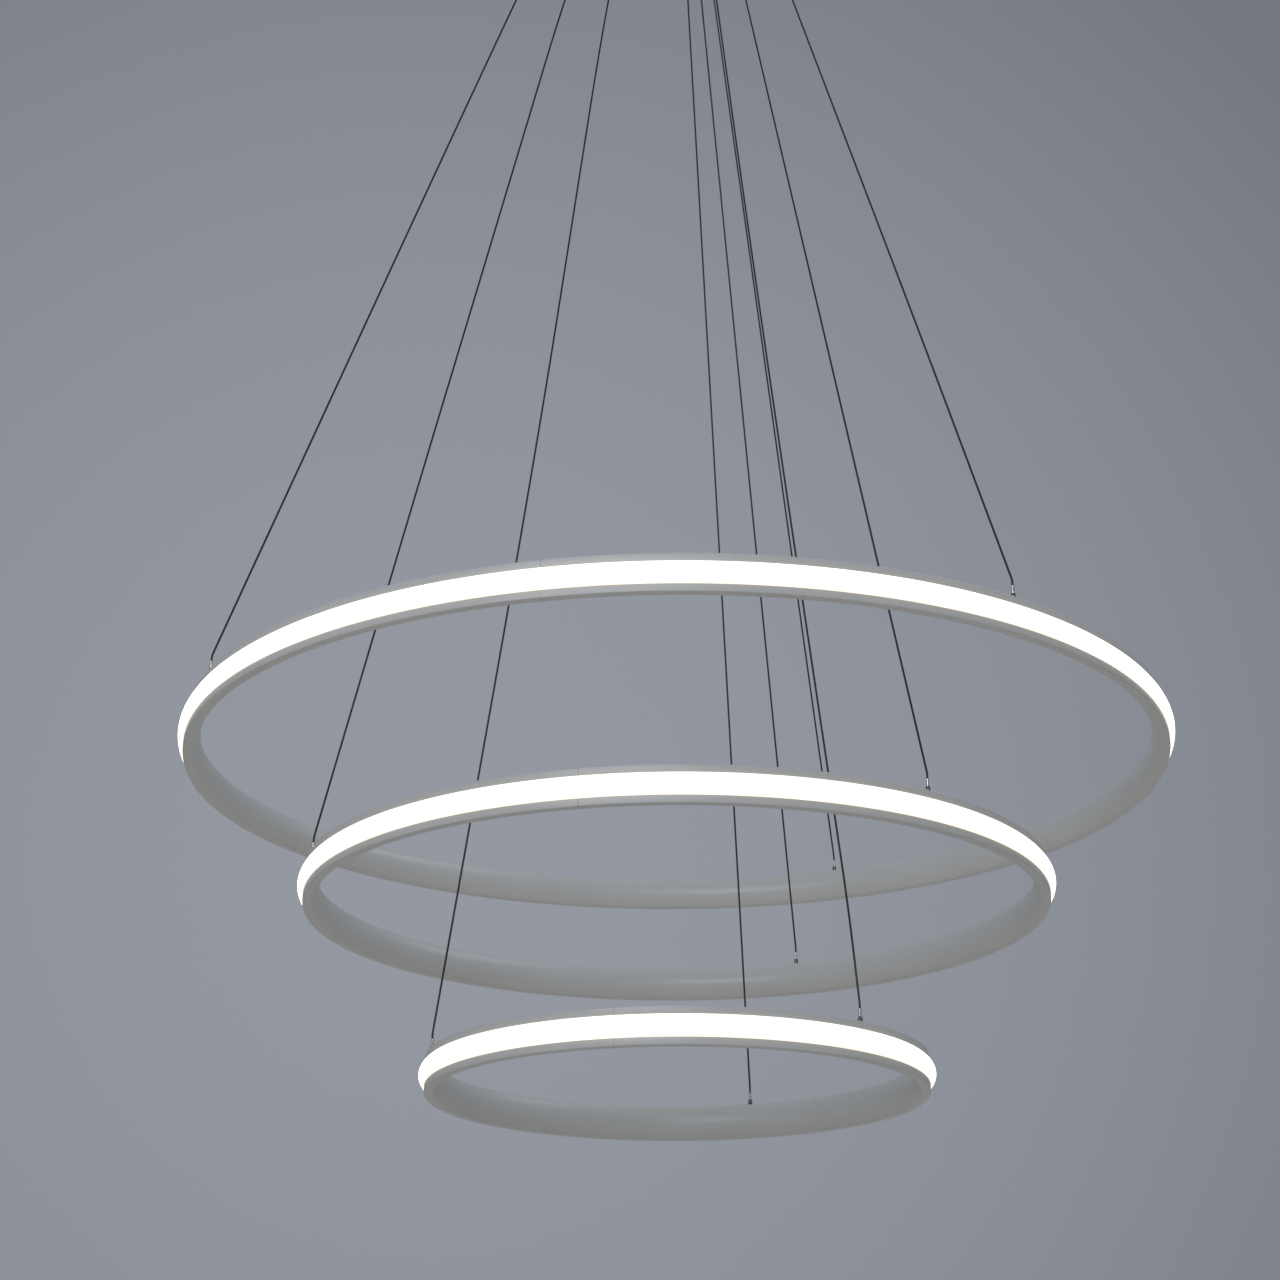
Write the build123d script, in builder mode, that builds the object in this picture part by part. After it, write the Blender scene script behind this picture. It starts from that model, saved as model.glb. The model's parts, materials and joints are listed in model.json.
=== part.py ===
"""LED ring chandelier: three level rings of falling size on nine cords from one round canopy.

Millimetres, +Z up.  The origin is the centre of the ceiling face, and the lamp hangs below it.
Azimuths are degrees from +X towards +Y; the far side of the lamp is +Y.
"""

import os
from math import cos, degrees, pi, radians, sin, sqrt, tan

from build123d import *

os.makedirs("parts", exist_ok=True)

# ---------------------------------------------------------------- rings, driving sizes
ring_diameter = {"large": 800.0, "middle": 600.0, "small": 400.0}  # over the diffuser
ring_drop = {"large": 875.0, "middle": 988.5, "small": 1133.0}  # canopy floor to ring centre
cord_azimuth = {
    "large": {"left": -153.0, "right": -53.0, "far": 67.0},
    "middle": {"left": -164.0, "right": -52.0, "far": 68.0},
    "small": {"left": -168.0, "right": -46.0, "far": 71.0},
}
gripper_circle = {"large": 108.0, "middle": 74.0, "small": 45.0}  # radius in the canopy floor

section_height = 28.0
section_depth = 13.0  # lip face to the crest of the rounded inner face
section_flat = 6.5  # flat part of the top and bottom faces
section_wall = 1.4
lip_rounding = 0.8
crown_rounding = 1.5
window_height = 16.5
diffuser_bulge = 4.5  # how far the opal cover stands proud of the lips
diffuser_wall = 1.5
diffuser_leg = 3.6  # how far its legs reach behind the lip face
leg_thickness = 1.2
hook_height = 1.0
cover_clearance = 0.15
carrier_back = 8.0  # lip face to the inner face of the carrier band
carrier_thickness = 1.5
carrier_clearance = 0.15
tape_height = 10.0
tape_thickness = 0.4
bead_height = 3.0
bead_depth = 0.7
seam_azimuth = -103.0
seam_gap = 0.2
splice_length = 60.0
splice_clearance = 0.15
set_screw_radius = 1.2
set_screw_length = 5.0
set_screw_inset = 9.9  # lip face to the screw axis
set_screw_spacing = 26.0
set_screw_recess = 0.4
socket_radius = 0.65
socket_depth = 1.2
screw_clearance = 0.05

# ---------------------------------------------------------------- cord ends on the rings
cord_diameter = 1.6
anchor_inset = 4.2  # lip face to the anchor axis
anchor_radius = 1.75
anchor_flange_radius = 1.6
anchor_height = 4.0
anchor_shank_radius = 1.0
anchor_flange_height = 1.0
anchor_edge = 0.4
ferrule_radius = 1.2
ferrule_height = 6.0
ferrule_edge = 0.3

# ---------------------------------------------------------------- canopy, driving sizes
canopy_radius = 130.0
canopy_height = 52.0
canopy_wall = 1.2
canopy_rounding = 6.0
plate_thickness = 2.0
plate_clearance = 0.5
tab_size = (2.0, 14.0, 12.0)  # out, along, down
tab_count = 3
tab_azimuth = 10.0
tab_setback = 0.8
side_screw_drop = 9.0
side_screw_radius = 2.0
side_screw_length = 9.0
side_head_radius = 3.75
side_head_height = 2.2
ceiling_hole_circle = 60.0
ceiling_hole_count = 4
ceiling_hole_radius = 2.75
mains_hole_radius = 10.0
grommet_flange = 3.0
grommet_flange_height = 2.0
grommet_bore_radius = 4.5
grommet_clearance = 0.1

gripper_radius = 5.0
gripper_body_height = 12.0
thread_radius = 3.95
thread_height = 14.0
gripper_bore_radius = 1.05
gripper_edge = 0.6
locknut_width = 13.0
locknut_height = 4.0
plunger_stem_radius = 2.0
plunger_stem_in = 6.0
plunger_travel = 1.5
plunger_head_gap = 1.8
plunger_head_radius = 2.8
plunger_head_height = 3.5
plunger_edge = 0.5
plunger_end_gap = 0.5
cord_bore_radius = 1.0
tail_above_thread = 5.0
crimp_radius = 1.6
crimp_height = 4.0

# ---------------------------------------------------------------- driver and wiring
driver_length = 150.0
driver_width = 40.0
driver_height = 24.0
driver_wall = 1.6
driver_y = 72.0
driver_edge = 2.0
lid_thickness = 2.0
lid_step = 1.5
ear_length = 12.0
ear_width = 18.0
ear_thickness = 2.0
driver_screw_radius = 2.0
driver_head_radius = 3.6
driver_head_height = 2.0
driver_screw_length = 3.6
board_end_clearance = 3.4
board_side_clearance = 1.4
board_thickness = 1.6
board_depth = 17.0  # ceiling plate to the board's upper face
post_radius = 2.0
post_end_inset = 6.0  # board's end to the posts' axes, and its side to them
post_side_inset = 4.0
transformer_size = (24.0, 22.0, 11.0)
transformer_x = 8.0
choke_size = (16.0, 14.0, 9.0)
choke_x = -44.0
capacitor_radius = 5.0
capacitor_height = 10.0
capacitor_places = [(-22.0, 0.0), (40.0, -6.5), (40.0, 6.5)]  # from the board's centre
block_size = (34.0, 18.0, 14.0)
block_y = -40.0
block_pitch = 10.0
block_screw_radius = 2.0
block_screw_depth = 5.0
block_screw_proud = 1.0
slot_width = 0.8
slot_depth = 0.8
wire_entry_radius = 1.4
wire_entry_depth = 5.0
earth_position = (36.0, -14.0)
earth_screw_radius = 2.0
earth_head_radius = 4.0
earth_head_height = 2.4
mains_lead_radius = 1.1
output_lead_radius = 0.9
lead_straight = 10.0  # beside the terminal block and beside the driver
gland_drop = 12.0  # ceiling plate to where the mains leads enter the driver
live_setback = 4.0  # driver's centre line to the live lead, and to the neutral one
neutral_setback = 10.0
output_drop = 18.0  # ceiling plate to where the output leads leave the driver
output_run = 14.0
live_passing = [(-30.0, -6.0, -9.0), (-68.0, 20.0, -10.0), (-90.0, 42.0, -12.0), (-93.0, 60.0, -14.0)]
neutral_passing = [(-26.0, 3.0, -9.0), (-63.0, 27.0, -10.0), (-82.0, 45.0, -12.0), (-87.0, 55.0, -14.0)]
earth_passing = (22.0, -12.0, -13.0)
earth_loop = 12.0  # ceiling plate to where the earth lead turns up to its screw
output_leaving = {
    ("large", "left"): -62.0,
    ("middle", "left"): -54.0,
    ("small", "left"): -34.0,
    ("small", "right"): 30.0,
    ("middle", "right"): 54.0,
    ("large", "right"): 62.0,
}
output_passing = {
    ("large", "left"): [(-68.0, 13.0), (-85.0, -26.0)],
    ("middle", "left"): [(-58.0, 17.0), (-66.0, -2.0)],
    ("small", "left"): [(-36.0, 21.0), (-40.5, 4.0)],
    ("small", "right"): [(27.0, 17.0), (26.0, -8.0)],
    ("middle", "right"): [(57.0, 13.0), (55.0, -31.0)],
    ("large", "right"): [(65.0, 13.0), (71.0, -27.0), (70.5, -62.0)],
}

# ---------------------------------------------------------------- cord shape
exit_run = 14.0  # straight cord below a gripper
ferrule_run = 4.0  # straight cord above a ferrule
arc_share = 0.45
kinks = {
    ("middle", "left"): [(0.13, 3.6), (0.71, 2.0)],
    ("small", "left"): [(0.13, 2.0), (0.54, -3.2)],
    ("small", "right"): [(0.45, -1.8), (0.93, 2.2)],
    ("large", "left"): [(0.34, 1.2)],
    ("large", "right"): [(0.72, 1.2)],
}  # share of the way down, and how far out of line

# ---------------------------------------------------------------- worked-out sizes
crown = section_depth - section_flat
crown_radius = ((section_height / 2) ** 2 + crown**2) / (2 * crown)
crown_offset = crown_radius - section_depth  # crown centre outwards of the lip face
half_height = section_height / 2
half_window = window_height / 2
canopy_floor = -canopy_height
gripper_bottom = canopy_floor - gripper_body_height
thread_top = canopy_floor + thread_height
plunger_head_top = gripper_bottom - plunger_head_gap
cord_exit = plunger_head_top - plunger_head_height
tail_top = thread_top + tail_above_thread
plate_radius = canopy_radius - canopy_wall - plate_clearance
plate_under = -plate_thickness
tab_outer = plate_radius - tab_setback
side_screw_inner = canopy_radius - side_screw_length
lid_top = plate_under - driver_height
board_top = plate_under - board_depth
ear_x = driver_length / 2 + ear_length / 2


def save(built, name):
    """Label the finished piece and write it as one STEP file."""
    built.part.label = name
    export_step(built.part, f"parts/{name}.step")


def flat(radius, azimuth):
    """Place in a level sketch, at a radius and azimuth about the lamp's axis."""
    return (radius * cos(radians(azimuth)), radius * sin(radians(azimuth)))


def polar(radius, azimuth, z):
    """Point at a radius, azimuth and height."""
    return (*flat(radius, azimuth), z)


def radial_plane(azimuth, z):
    """Plane through the lamp's axis: local x outwards, local y up."""
    turn = radians(azimuth)
    return Plane(origin=(0, 0, z), x_dir=(cos(turn), sin(turn), 0), z_dir=(sin(turn), -cos(turn), 0))


def outward_plane(radius, azimuth, z):
    """Plane facing away from the lamp's axis, at a radius."""
    turn = radians(azimuth)
    return Plane(origin=polar(radius, azimuth, z), x_dir=(-sin(turn), cos(turn), 0),
                 z_dir=(cos(turn), sin(turn), 0))


def crescent_half_height(lip_radius, radius, inset):
    """Half height of the crescent, moved inwards by inset, at a radius."""
    reach = lip_radius + crown_offset - radius
    return sqrt((crown_radius - inset) ** 2 - reach**2)


def crescent(lip_radius, inset):
    """Crescent section of a ring, local x outwards and y up, with all sides moved inwards."""
    half = half_height - inset
    outer = lip_radius - inset
    flat_end = lip_radius + crown_offset - sqrt((crown_radius - inset) ** 2 - half**2)
    crest = lip_radius - section_depth + inset
    with BuildSketch(Plane.XY) as outline:
        with BuildLine(Plane.XY):
            Polyline((flat_end, -half), (outer, -half), (outer, half), (flat_end, half))
            ThreePointArc((flat_end, half), (crest, 0), (flat_end, -half))
        make_face()
    return outline.sketch_local


def anchor_circle(ring):
    """Radius of the circle that a ring's cord anchors stand on."""
    return ring_diameter[ring] / 2 - diffuser_bulge - anchor_inset


def cord_corners(ring, side):
    """Corners of one cord, from its gripper down to its ferrule."""
    azimuth = cord_azimuth[ring][side]
    top_radius = gripper_circle[ring]
    end_radius = anchor_circle(ring)
    end_z = canopy_floor - ring_drop[ring] + half_height + anchor_height + ferrule_height
    upper, lower = cord_exit - exit_run, end_z + ferrule_run
    corners = [polar(top_radius, azimuth, cord_exit), polar(top_radius, azimuth, upper)]
    for share, out_of_line in kinks.get((ring, side), []):
        radius = top_radius + share * (end_radius - top_radius) + out_of_line
        corners.append(polar(radius, azimuth, upper + share * (lower - upper)))
    corners += [polar(end_radius, azimuth, lower), polar(end_radius, azimuth, end_z)]
    return [Vector(*corner) for corner in corners]


def arc_radii(corners):
    """Largest arc that the two runs beside each corner allow."""
    radii = []
    for before, corner, after in zip(corners, corners[1:], corners[2:]):
        turn = radians((corner - before).get_angle(after - corner))
        shorter = min((corner - before).length, (after - corner).length)
        radii.append(arc_share * shorter / tan(turn / 2))
    return radii


def tube(corners, radius):
    """Round tube of straight runs joined by tangent arcs, and its length."""
    with BuildPart() as built:
        with BuildLine() as path:
            FilletPolyline(*corners, radius=arc_radii(corners))
        with BuildSketch(Plane(origin=path.line @ 0, z_dir=path.line % 0)):
            Circle(radius)
        sweep()
    return built, path.wires()[0].length


# ================================================================ the three rings
for ring, diameter in ring_diameter.items():
    lip_radius = diameter / 2 - diffuser_bulge
    ring_z = canopy_floor - ring_drop[ring]
    ring_plane = Plane.XY.offset(ring_z)
    seam_turn = degrees(seam_gap / lip_radius)
    screw_turn = degrees(set_screw_spacing / 2 / lip_radius)
    screw_circle = lip_radius - set_screw_inset
    screw_bottom = ring_z - crescent_half_height(lip_radius, screw_circle, 0) + set_screw_recess
    screw_places = [flat(screw_circle, seam_azimuth + side * screw_turn) for side in (-1, 1)]
    anchor_places = [flat(anchor_circle(ring), azimuth) for azimuth in cord_azimuth[ring].values()]

    # bent channel: crescent section, window in its outer face, one butt seam
    with BuildPart() as housing:
        with BuildSketch(radial_plane(seam_azimuth + seam_turn / 2, ring_z)) as section:
            add(crescent(lip_radius, 0))
            fillet(section.vertices().group_by(Axis.X)[-1], lip_rounding)
            fillet(section.vertices().group_by(Axis.X)[0], crown_rounding)
            add(crescent(lip_radius, section_wall), mode=Mode.SUBTRACT)
            with Locations((lip_radius - section_wall / 2, 0)):
                Rectangle(section_wall * 2, window_height, mode=Mode.SUBTRACT)
        revolve(axis=Axis.Z, revolution_arc=360 - seam_turn)
        with BuildSketch(ring_plane.offset(half_height)):
            with Locations(*anchor_places):
                Circle(anchor_shank_radius + screw_clearance)
        extrude(amount=-2 * section_wall, mode=Mode.SUBTRACT)
        with BuildSketch(ring_plane.offset(-half_height)):
            with Locations(*screw_places):
                Circle(set_screw_radius + screw_clearance)
        extrude(amount=half_height, mode=Mode.SUBTRACT)
    save(housing, f"{ring}_ring_housing")

    # opal cover: bulged wall with two legs that hook behind the lips
    half_cover = half_window - cover_clearance
    hook_outer = lip_radius - section_wall - cover_clearance
    hook_inner = lip_radius - diffuser_leg
    open_back = hook_inner - diffuser_wall
    with BuildPart() as diffuser:
        with BuildSketch(radial_plane(0, ring_z)):
            with BuildLine():
                Polyline((lip_radius, half_cover), (hook_inner, half_cover),
                         (hook_inner, -half_cover), (lip_radius, -half_cover))
                ThreePointArc((lip_radius, -half_cover), (lip_radius + diffuser_bulge, 0),
                              (lip_radius, half_cover))
            make_face()
            inner_half = half_cover - leg_thickness
            with BuildLine():
                Polyline((lip_radius, inner_half), (open_back, inner_half),
                         (open_back, -inner_half), (lip_radius, -inner_half))
                ThreePointArc((lip_radius, -inner_half),
                              (lip_radius + diffuser_bulge - diffuser_wall, 0),
                              (lip_radius, inner_half))
            make_face(mode=Mode.SUBTRACT)
            for side in (-1, 1):
                with Locations(((hook_outer + hook_inner) / 2,
                                side * (half_cover + hook_height / 2 - leg_thickness / 2))):
                    Rectangle(hook_outer - hook_inner, hook_height + leg_thickness)
        revolve(axis=Axis.Z)
    save(diffuser, f"{ring}_ring_diffuser")

    # flat carrier band, pinched by the rounded wall of the channel
    carrier_inner = lip_radius - carrier_back
    carrier_outer = carrier_inner + carrier_thickness
    carrier_half = crescent_half_height(lip_radius, carrier_inner, section_wall) - carrier_clearance
    with BuildPart() as carrier:
        with BuildSketch(ring_plane.offset(-carrier_half)):
            Circle(carrier_outer)
            Circle(carrier_inner, mode=Mode.SUBTRACT)
        extrude(amount=2 * carrier_half)
    save(carrier, f"{ring}_ring_led_carrier")

    # led tape on the carrier, with one unbroken phosphor bead facing outwards
    tape_outer = carrier_outer + tape_thickness
    with BuildPart() as tape:
        with BuildSketch(radial_plane(0, ring_z)):
            with Locations(((carrier_outer + tape_outer) / 2, 0)):
                Rectangle(tape_thickness, tape_height)
            with BuildLine():
                ThreePointArc((tape_outer, -bead_height / 2), (tape_outer + bead_depth, 0),
                              (tape_outer, bead_height / 2))
                Line((tape_outer, bead_height / 2), (tape_outer, -bead_height / 2))
            make_face()
        revolve(axis=Axis.Z)
    save(tape, f"{ring}_ring_led_tape")

    # splice bar behind the seam, in the space between the carrier and the rounded wall
    splice_outer = carrier_inner - splice_clearance
    splice_turn = degrees(splice_length / splice_outer)
    splice_inset = section_wall + splice_clearance
    with BuildPart() as splice:
        with BuildSketch(radial_plane(seam_azimuth - splice_turn / 2, ring_z)):
            splice_half = crescent_half_height(lip_radius, splice_outer, splice_inset)
            with BuildLine():
                Line((splice_outer, -splice_half), (splice_outer, splice_half))
                ThreePointArc((splice_outer, splice_half),
                              (lip_radius - section_depth + splice_inset, 0),
                              (splice_outer, -splice_half))
            make_face()
        revolve(axis=Axis.Z, revolution_arc=splice_turn)
        with BuildSketch(ring_plane.offset(-half_height)):
            with Locations(*screw_places):
                Circle(set_screw_radius + screw_clearance)
        extrude(amount=half_height, mode=Mode.SUBTRACT)
    save(splice, f"{ring}_ring_splice_bar")

    # two socket set screws, from below, one each side of the seam
    with BuildPart() as set_screws:
        with BuildSketch(Plane.XY.offset(screw_bottom)):
            with Locations(*screw_places):
                Circle(set_screw_radius)
        extrude(amount=set_screw_length)
        with BuildSketch(Plane.XY.offset(screw_bottom)):
            with Locations(*screw_places):
                RegularPolygon(socket_radius, 6)
        extrude(amount=socket_depth, mode=Mode.SUBTRACT)
    save(set_screws, f"{ring}_ring_set_screws")

    # anchors: base on the top face, shank through the wall, flange inside
    with BuildPart() as anchors:
        with BuildSketch(ring_plane.offset(half_height)):
            with Locations(*anchor_places):
                Circle(anchor_radius)
        extrude(amount=anchor_height)
        fillet(anchors.edges().group_by(Axis.Z)[-1], anchor_edge)
        with BuildSketch(ring_plane.offset(half_height)):
            with Locations(*anchor_places):
                Circle(anchor_shank_radius)
        extrude(amount=-section_wall - anchor_flange_height)
        with BuildSketch(ring_plane.offset(half_height - section_wall)):
            with Locations(*anchor_places):
                Circle(anchor_flange_radius)
        extrude(amount=-anchor_flange_height)
    save(anchors, f"{ring}_ring_cord_anchors")

    # crimp ferrules that hold the cord ends on the anchors
    with BuildPart() as ferrules:
        with BuildSketch(ring_plane.offset(half_height + anchor_height)):
            with Locations(*anchor_places):
                Circle(ferrule_radius)
        extrude(amount=ferrule_height)
        chamfer(ferrules.edges().group_by(Axis.Z)[-1], ferrule_edge)
    save(ferrules, f"{ring}_ring_ferrules")

# ================================================================ the nine cords
for ring in ring_diameter:
    for side in cord_azimuth[ring]:
        corners = cord_corners(ring, side)
        cord, cord_length = tube(corners, cord_diameter / 2)
        save(cord, f"{ring}_{side}_cord")
        ideal = cord_length * pi * (cord_diameter / 2) ** 2
        radii_text = ", ".join(f"{radius:.0f}" for radius in arc_radii(corners))
        print(f"{ring} {side} cord: {cord_length:.1f} long, radii {radii_text},"
              f" volume share {cord.part.volume / ideal:.5f}")

# ================================================================ canopy
gripper_places = [
    flat(gripper_circle[ring], azimuth)
    for ring in ring_diameter
    for azimuth in cord_azimuth[ring].values()
]
tab_azimuths = [tab_azimuth + turn * 360 / tab_count for turn in range(tab_count)]

with BuildPart() as plate:
    with BuildSketch(Plane.XY.offset(plate_under)):
        Circle(plate_radius)
        Circle(mains_hole_radius, mode=Mode.SUBTRACT)
        with PolarLocations(ceiling_hole_circle, ceiling_hole_count, start_angle=45):
            Circle(ceiling_hole_radius, mode=Mode.SUBTRACT)
        with Locations(earth_position):
            Circle(earth_screw_radius + screw_clearance, mode=Mode.SUBTRACT)
        with Locations((ear_x, driver_y), (-ear_x, driver_y)):
            Circle(driver_screw_radius + screw_clearance, mode=Mode.SUBTRACT)
    extrude(amount=plate_thickness)
    for azimuth in tab_azimuths:
        with BuildSketch(outward_plane(tab_outer, azimuth, plate_under - tab_size[2] / 2)):
            Rectangle(tab_size[1], tab_size[2])
        extrude(amount=-tab_size[0])
        with BuildSketch(outward_plane(tab_outer, azimuth, -side_screw_drop)):
            Circle(side_screw_radius + screw_clearance)
        extrude(amount=-tab_size[0], mode=Mode.SUBTRACT)
save(plate, "ceiling_plate")

with BuildPart() as shell:
    with BuildSketch():
        Circle(canopy_radius)
    extrude(amount=-canopy_height)
    fillet(shell.edges().group_by(Axis.Z)[0], canopy_rounding)
    offset(amount=-canopy_wall, openings=shell.faces().sort_by(Axis.Z)[-1])
    with BuildSketch(Plane.XY.offset(canopy_floor)):
        with Locations(*gripper_places):
            Circle(thread_radius + 2 * screw_clearance)
    extrude(amount=2 * canopy_wall, mode=Mode.SUBTRACT)
    for azimuth in tab_azimuths:
        with BuildSketch(outward_plane(canopy_radius, azimuth, -side_screw_drop)):
            Circle(side_screw_radius + 2 * screw_clearance)
        extrude(amount=-2 * canopy_wall, mode=Mode.SUBTRACT)
save(shell, "canopy_shell")

with BuildPart() as side_screws:
    for azimuth in tab_azimuths:
        with BuildSketch(outward_plane(side_screw_inner, azimuth, -side_screw_drop)):
            Circle(side_screw_radius)
        extrude(amount=side_screw_length)
        with BuildSketch(outward_plane(canopy_radius, azimuth, -side_screw_drop)):
            Circle(side_head_radius)
        extrude(amount=side_head_height)
save(side_screws, "canopy_side_screws")

with BuildPart() as grommet:
    with BuildSketch(Plane.XY.offset(plate_under - grommet_flange_height)):
        Circle(mains_hole_radius + grommet_flange)
    extrude(amount=grommet_flange_height)
    with BuildSketch(Plane.XY.offset(plate_under)):
        Circle(mains_hole_radius - grommet_clearance)
    extrude(amount=plate_thickness)
    with BuildSketch(Plane.XY.offset(plate_under - grommet_flange_height)):
        Circle(grommet_bore_radius)
    extrude(amount=grommet_flange_height + plate_thickness, mode=Mode.SUBTRACT)
save(grommet, "mains_grommet")

# ================================================================ cord grippers
with BuildPart() as gripper_bodies:
    with BuildSketch(Plane.XY.offset(gripper_bottom)):
        with Locations(*gripper_places):
            Circle(gripper_radius)
    extrude(amount=gripper_body_height)
    chamfer(gripper_bodies.edges().group_by(Axis.Z)[0], gripper_edge)
    with BuildSketch(Plane.XY.offset(canopy_floor)):
        with Locations(*gripper_places):
            Circle(thread_radius)
    extrude(amount=thread_height)
    with BuildSketch(Plane.XY.offset(gripper_bottom)):
        with Locations(*gripper_places):
            Circle(gripper_bore_radius)
    extrude(amount=gripper_body_height + thread_height, mode=Mode.SUBTRACT)
    with BuildSketch(Plane.XY.offset(gripper_bottom)):
        with Locations(*gripper_places):
            Circle(plunger_stem_radius + screw_clearance)
    extrude(amount=plunger_stem_in + plunger_travel + plunger_end_gap, mode=Mode.SUBTRACT)
save(gripper_bodies, "gripper_bodies")

with BuildPart() as locknuts:
    with BuildSketch(Plane.XY.offset(canopy_floor + canopy_wall)):
        with Locations(*gripper_places):
            RegularPolygon(locknut_width / 2, 6, major_radius=False)
            Circle(thread_radius + screw_clearance, mode=Mode.SUBTRACT)
    extrude(amount=locknut_height)
save(locknuts, "gripper_locknuts")

for ring in ring_diameter:
    for side, azimuth in cord_azimuth[ring].items():
        place = flat(gripper_circle[ring], azimuth)
        with BuildPart() as plunger:
            with BuildSketch(Plane.XY.offset(cord_exit)):
                with Locations(place):
                    Circle(plunger_head_radius)
            extrude(amount=plunger_head_height)
            fillet(plunger.edges().group_by(Axis.Z)[0], plunger_edge)
            with BuildSketch(Plane.XY.offset(plunger_head_top)):
                with Locations(place):
                    Circle(plunger_stem_radius)
            extrude(amount=plunger_head_gap + plunger_stem_in)
            with BuildSketch(Plane.XY.offset(cord_exit)):
                with Locations(place):
                    Circle(cord_bore_radius)
            extrude(amount=plunger_head_height + plunger_head_gap + plunger_stem_in,
                    mode=Mode.SUBTRACT)
        save(plunger, f"{ring}_{side}_release_plunger")

with BuildPart() as cord_tails:
    with BuildSketch(Plane.XY.offset(cord_exit)):
        with Locations(*gripper_places):
            Circle(cord_diameter / 2)
    extrude(amount=tail_top - cord_exit)
save(cord_tails, "cord_tails")

with BuildPart() as tail_crimps:
    with BuildSketch(Plane.XY.offset(tail_top - crimp_height)):
        with Locations(*gripper_places):
            Circle(crimp_radius)
            Circle(cord_diameter / 2 + screw_clearance, mode=Mode.SUBTRACT)
    extrude(amount=crimp_height)
save(tail_crimps, "tail_crimps")

# ================================================================ led driver
board_length = driver_length - 2 * driver_wall - 2 * board_end_clearance
board_width = driver_width - 2 * driver_wall - 2 * board_side_clearance
post_x = board_length / 2 - post_end_inset
post_y = board_width / 2 - post_side_inset
post_places = [(x * post_x, driver_y + y * post_y) for x in (-1, 1) for y in (-1, 1)]

with BuildPart() as driver_case:
    with BuildSketch(Plane.XY.offset(lid_top)):
        with Locations((0, driver_y)):
            RectangleRounded(driver_length, driver_width, driver_edge)
    extrude(amount=driver_height)
    with BuildSketch(Plane.XY.offset(lid_top)):
        with Locations((0, driver_y)):
            Rectangle(driver_length - 2 * driver_wall, driver_width - 2 * driver_wall)
    extrude(amount=driver_height - driver_wall, mode=Mode.SUBTRACT)
    with BuildSketch(Plane.XY.offset(plate_under - ear_thickness)):
        with Locations((ear_x, driver_y), (-ear_x, driver_y)):
            Rectangle(ear_length, ear_width)
    extrude(amount=ear_thickness)
    with BuildSketch(Plane.XY.offset(plate_under - ear_thickness)):
        with Locations((ear_x, driver_y), (-ear_x, driver_y)):
            Circle(driver_screw_radius + 2 * screw_clearance)
    extrude(amount=ear_thickness, mode=Mode.SUBTRACT)
    with BuildSketch(Plane.XY.offset(board_top)):
        with Locations(*post_places):
            Circle(post_radius)
    extrude(amount=board_depth - driver_wall)
save(driver_case, "driver_case")

with BuildPart() as driver_lid:
    with BuildSketch(Plane.XY.offset(lid_top)):
        with Locations((0, driver_y)):
            RectangleRounded(driver_length, driver_width, driver_edge)
    extrude(amount=-lid_thickness)
    with BuildSketch(Plane.XY.offset(lid_top)):
        with Locations((0, driver_y)):
            Rectangle(driver_length - 2 * driver_wall - 2 * cover_clearance,
                      driver_width - 2 * driver_wall - 2 * cover_clearance)
    extrude(amount=lid_step)
save(driver_lid, "driver_lid")

with BuildPart() as driver_board:
    with BuildSketch(Plane.XY.offset(board_top)):
        with Locations((0, driver_y)):
            Rectangle(board_length, board_width)
    extrude(amount=-board_thickness)
    with BuildSketch(Plane.XY.offset(board_top)):
        with Locations((transformer_x, driver_y)):
            Rectangle(transformer_size[0], transformer_size[1])
    extrude(amount=transformer_size[2])
    with BuildSketch(Plane.XY.offset(board_top)):
        with Locations((choke_x, driver_y)):
            Rectangle(choke_size[0], choke_size[1])
    extrude(amount=choke_size[2])
    with BuildSketch(Plane.XY.offset(board_top)):
        with Locations(*[(x, driver_y + y) for x, y in capacitor_places]):
            Circle(capacitor_radius)
    extrude(amount=capacitor_height)
save(driver_board, "driver_board")

with BuildPart() as driver_screws:
    with BuildSketch(Plane.XY.offset(plate_under - ear_thickness)):
        with Locations((ear_x, driver_y), (-ear_x, driver_y)):
            Circle(driver_screw_radius)
    extrude(amount=driver_screw_length)
    with BuildSketch(Plane.XY.offset(plate_under - ear_thickness)):
        with Locations((ear_x, driver_y), (-ear_x, driver_y)):
            Circle(driver_head_radius)
    extrude(amount=-driver_head_height)
save(driver_screws, "driver_screws")

# ================================================================ mains connection
pole_places = [(pole * block_pitch, block_y) for pole in (-1, 0, 1)]
block_under = plate_under - block_size[2]
wire_z = plate_under - block_size[2] / 2
block_face = block_y + block_size[1] / 2

with BuildPart() as terminal_block:
    with BuildSketch(Plane.XY.offset(plate_under)):
        with Locations((0, block_y)):
            Rectangle(block_size[0], block_size[1])
    extrude(amount=-block_size[2])
    with BuildSketch(Plane.XY.offset(block_under)):
        with Locations(*pole_places):
            Circle(block_screw_radius + screw_clearance)
    extrude(amount=block_screw_depth, mode=Mode.SUBTRACT)
    with BuildSketch(Plane(origin=(0, block_face, wire_z), x_dir=(1, 0, 0), z_dir=(0, 1, 0))):
        with Locations(*[(x, 0) for x, y in pole_places]):
            Circle(wire_entry_radius)
    extrude(amount=-wire_entry_depth, mode=Mode.SUBTRACT)
save(terminal_block, "terminal_block")

with BuildPart() as terminal_screws:
    with BuildSketch(Plane.XY.offset(block_under - block_screw_proud)):
        with Locations(*pole_places):
            Circle(block_screw_radius)
    extrude(amount=block_screw_proud + block_screw_depth)
    with BuildSketch(Plane.XY.offset(block_under - block_screw_proud)):
        with Locations(*pole_places):
            Rectangle(2 * block_screw_radius, slot_width)
    extrude(amount=slot_depth, mode=Mode.SUBTRACT)
save(terminal_screws, "terminal_screws")

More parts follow.
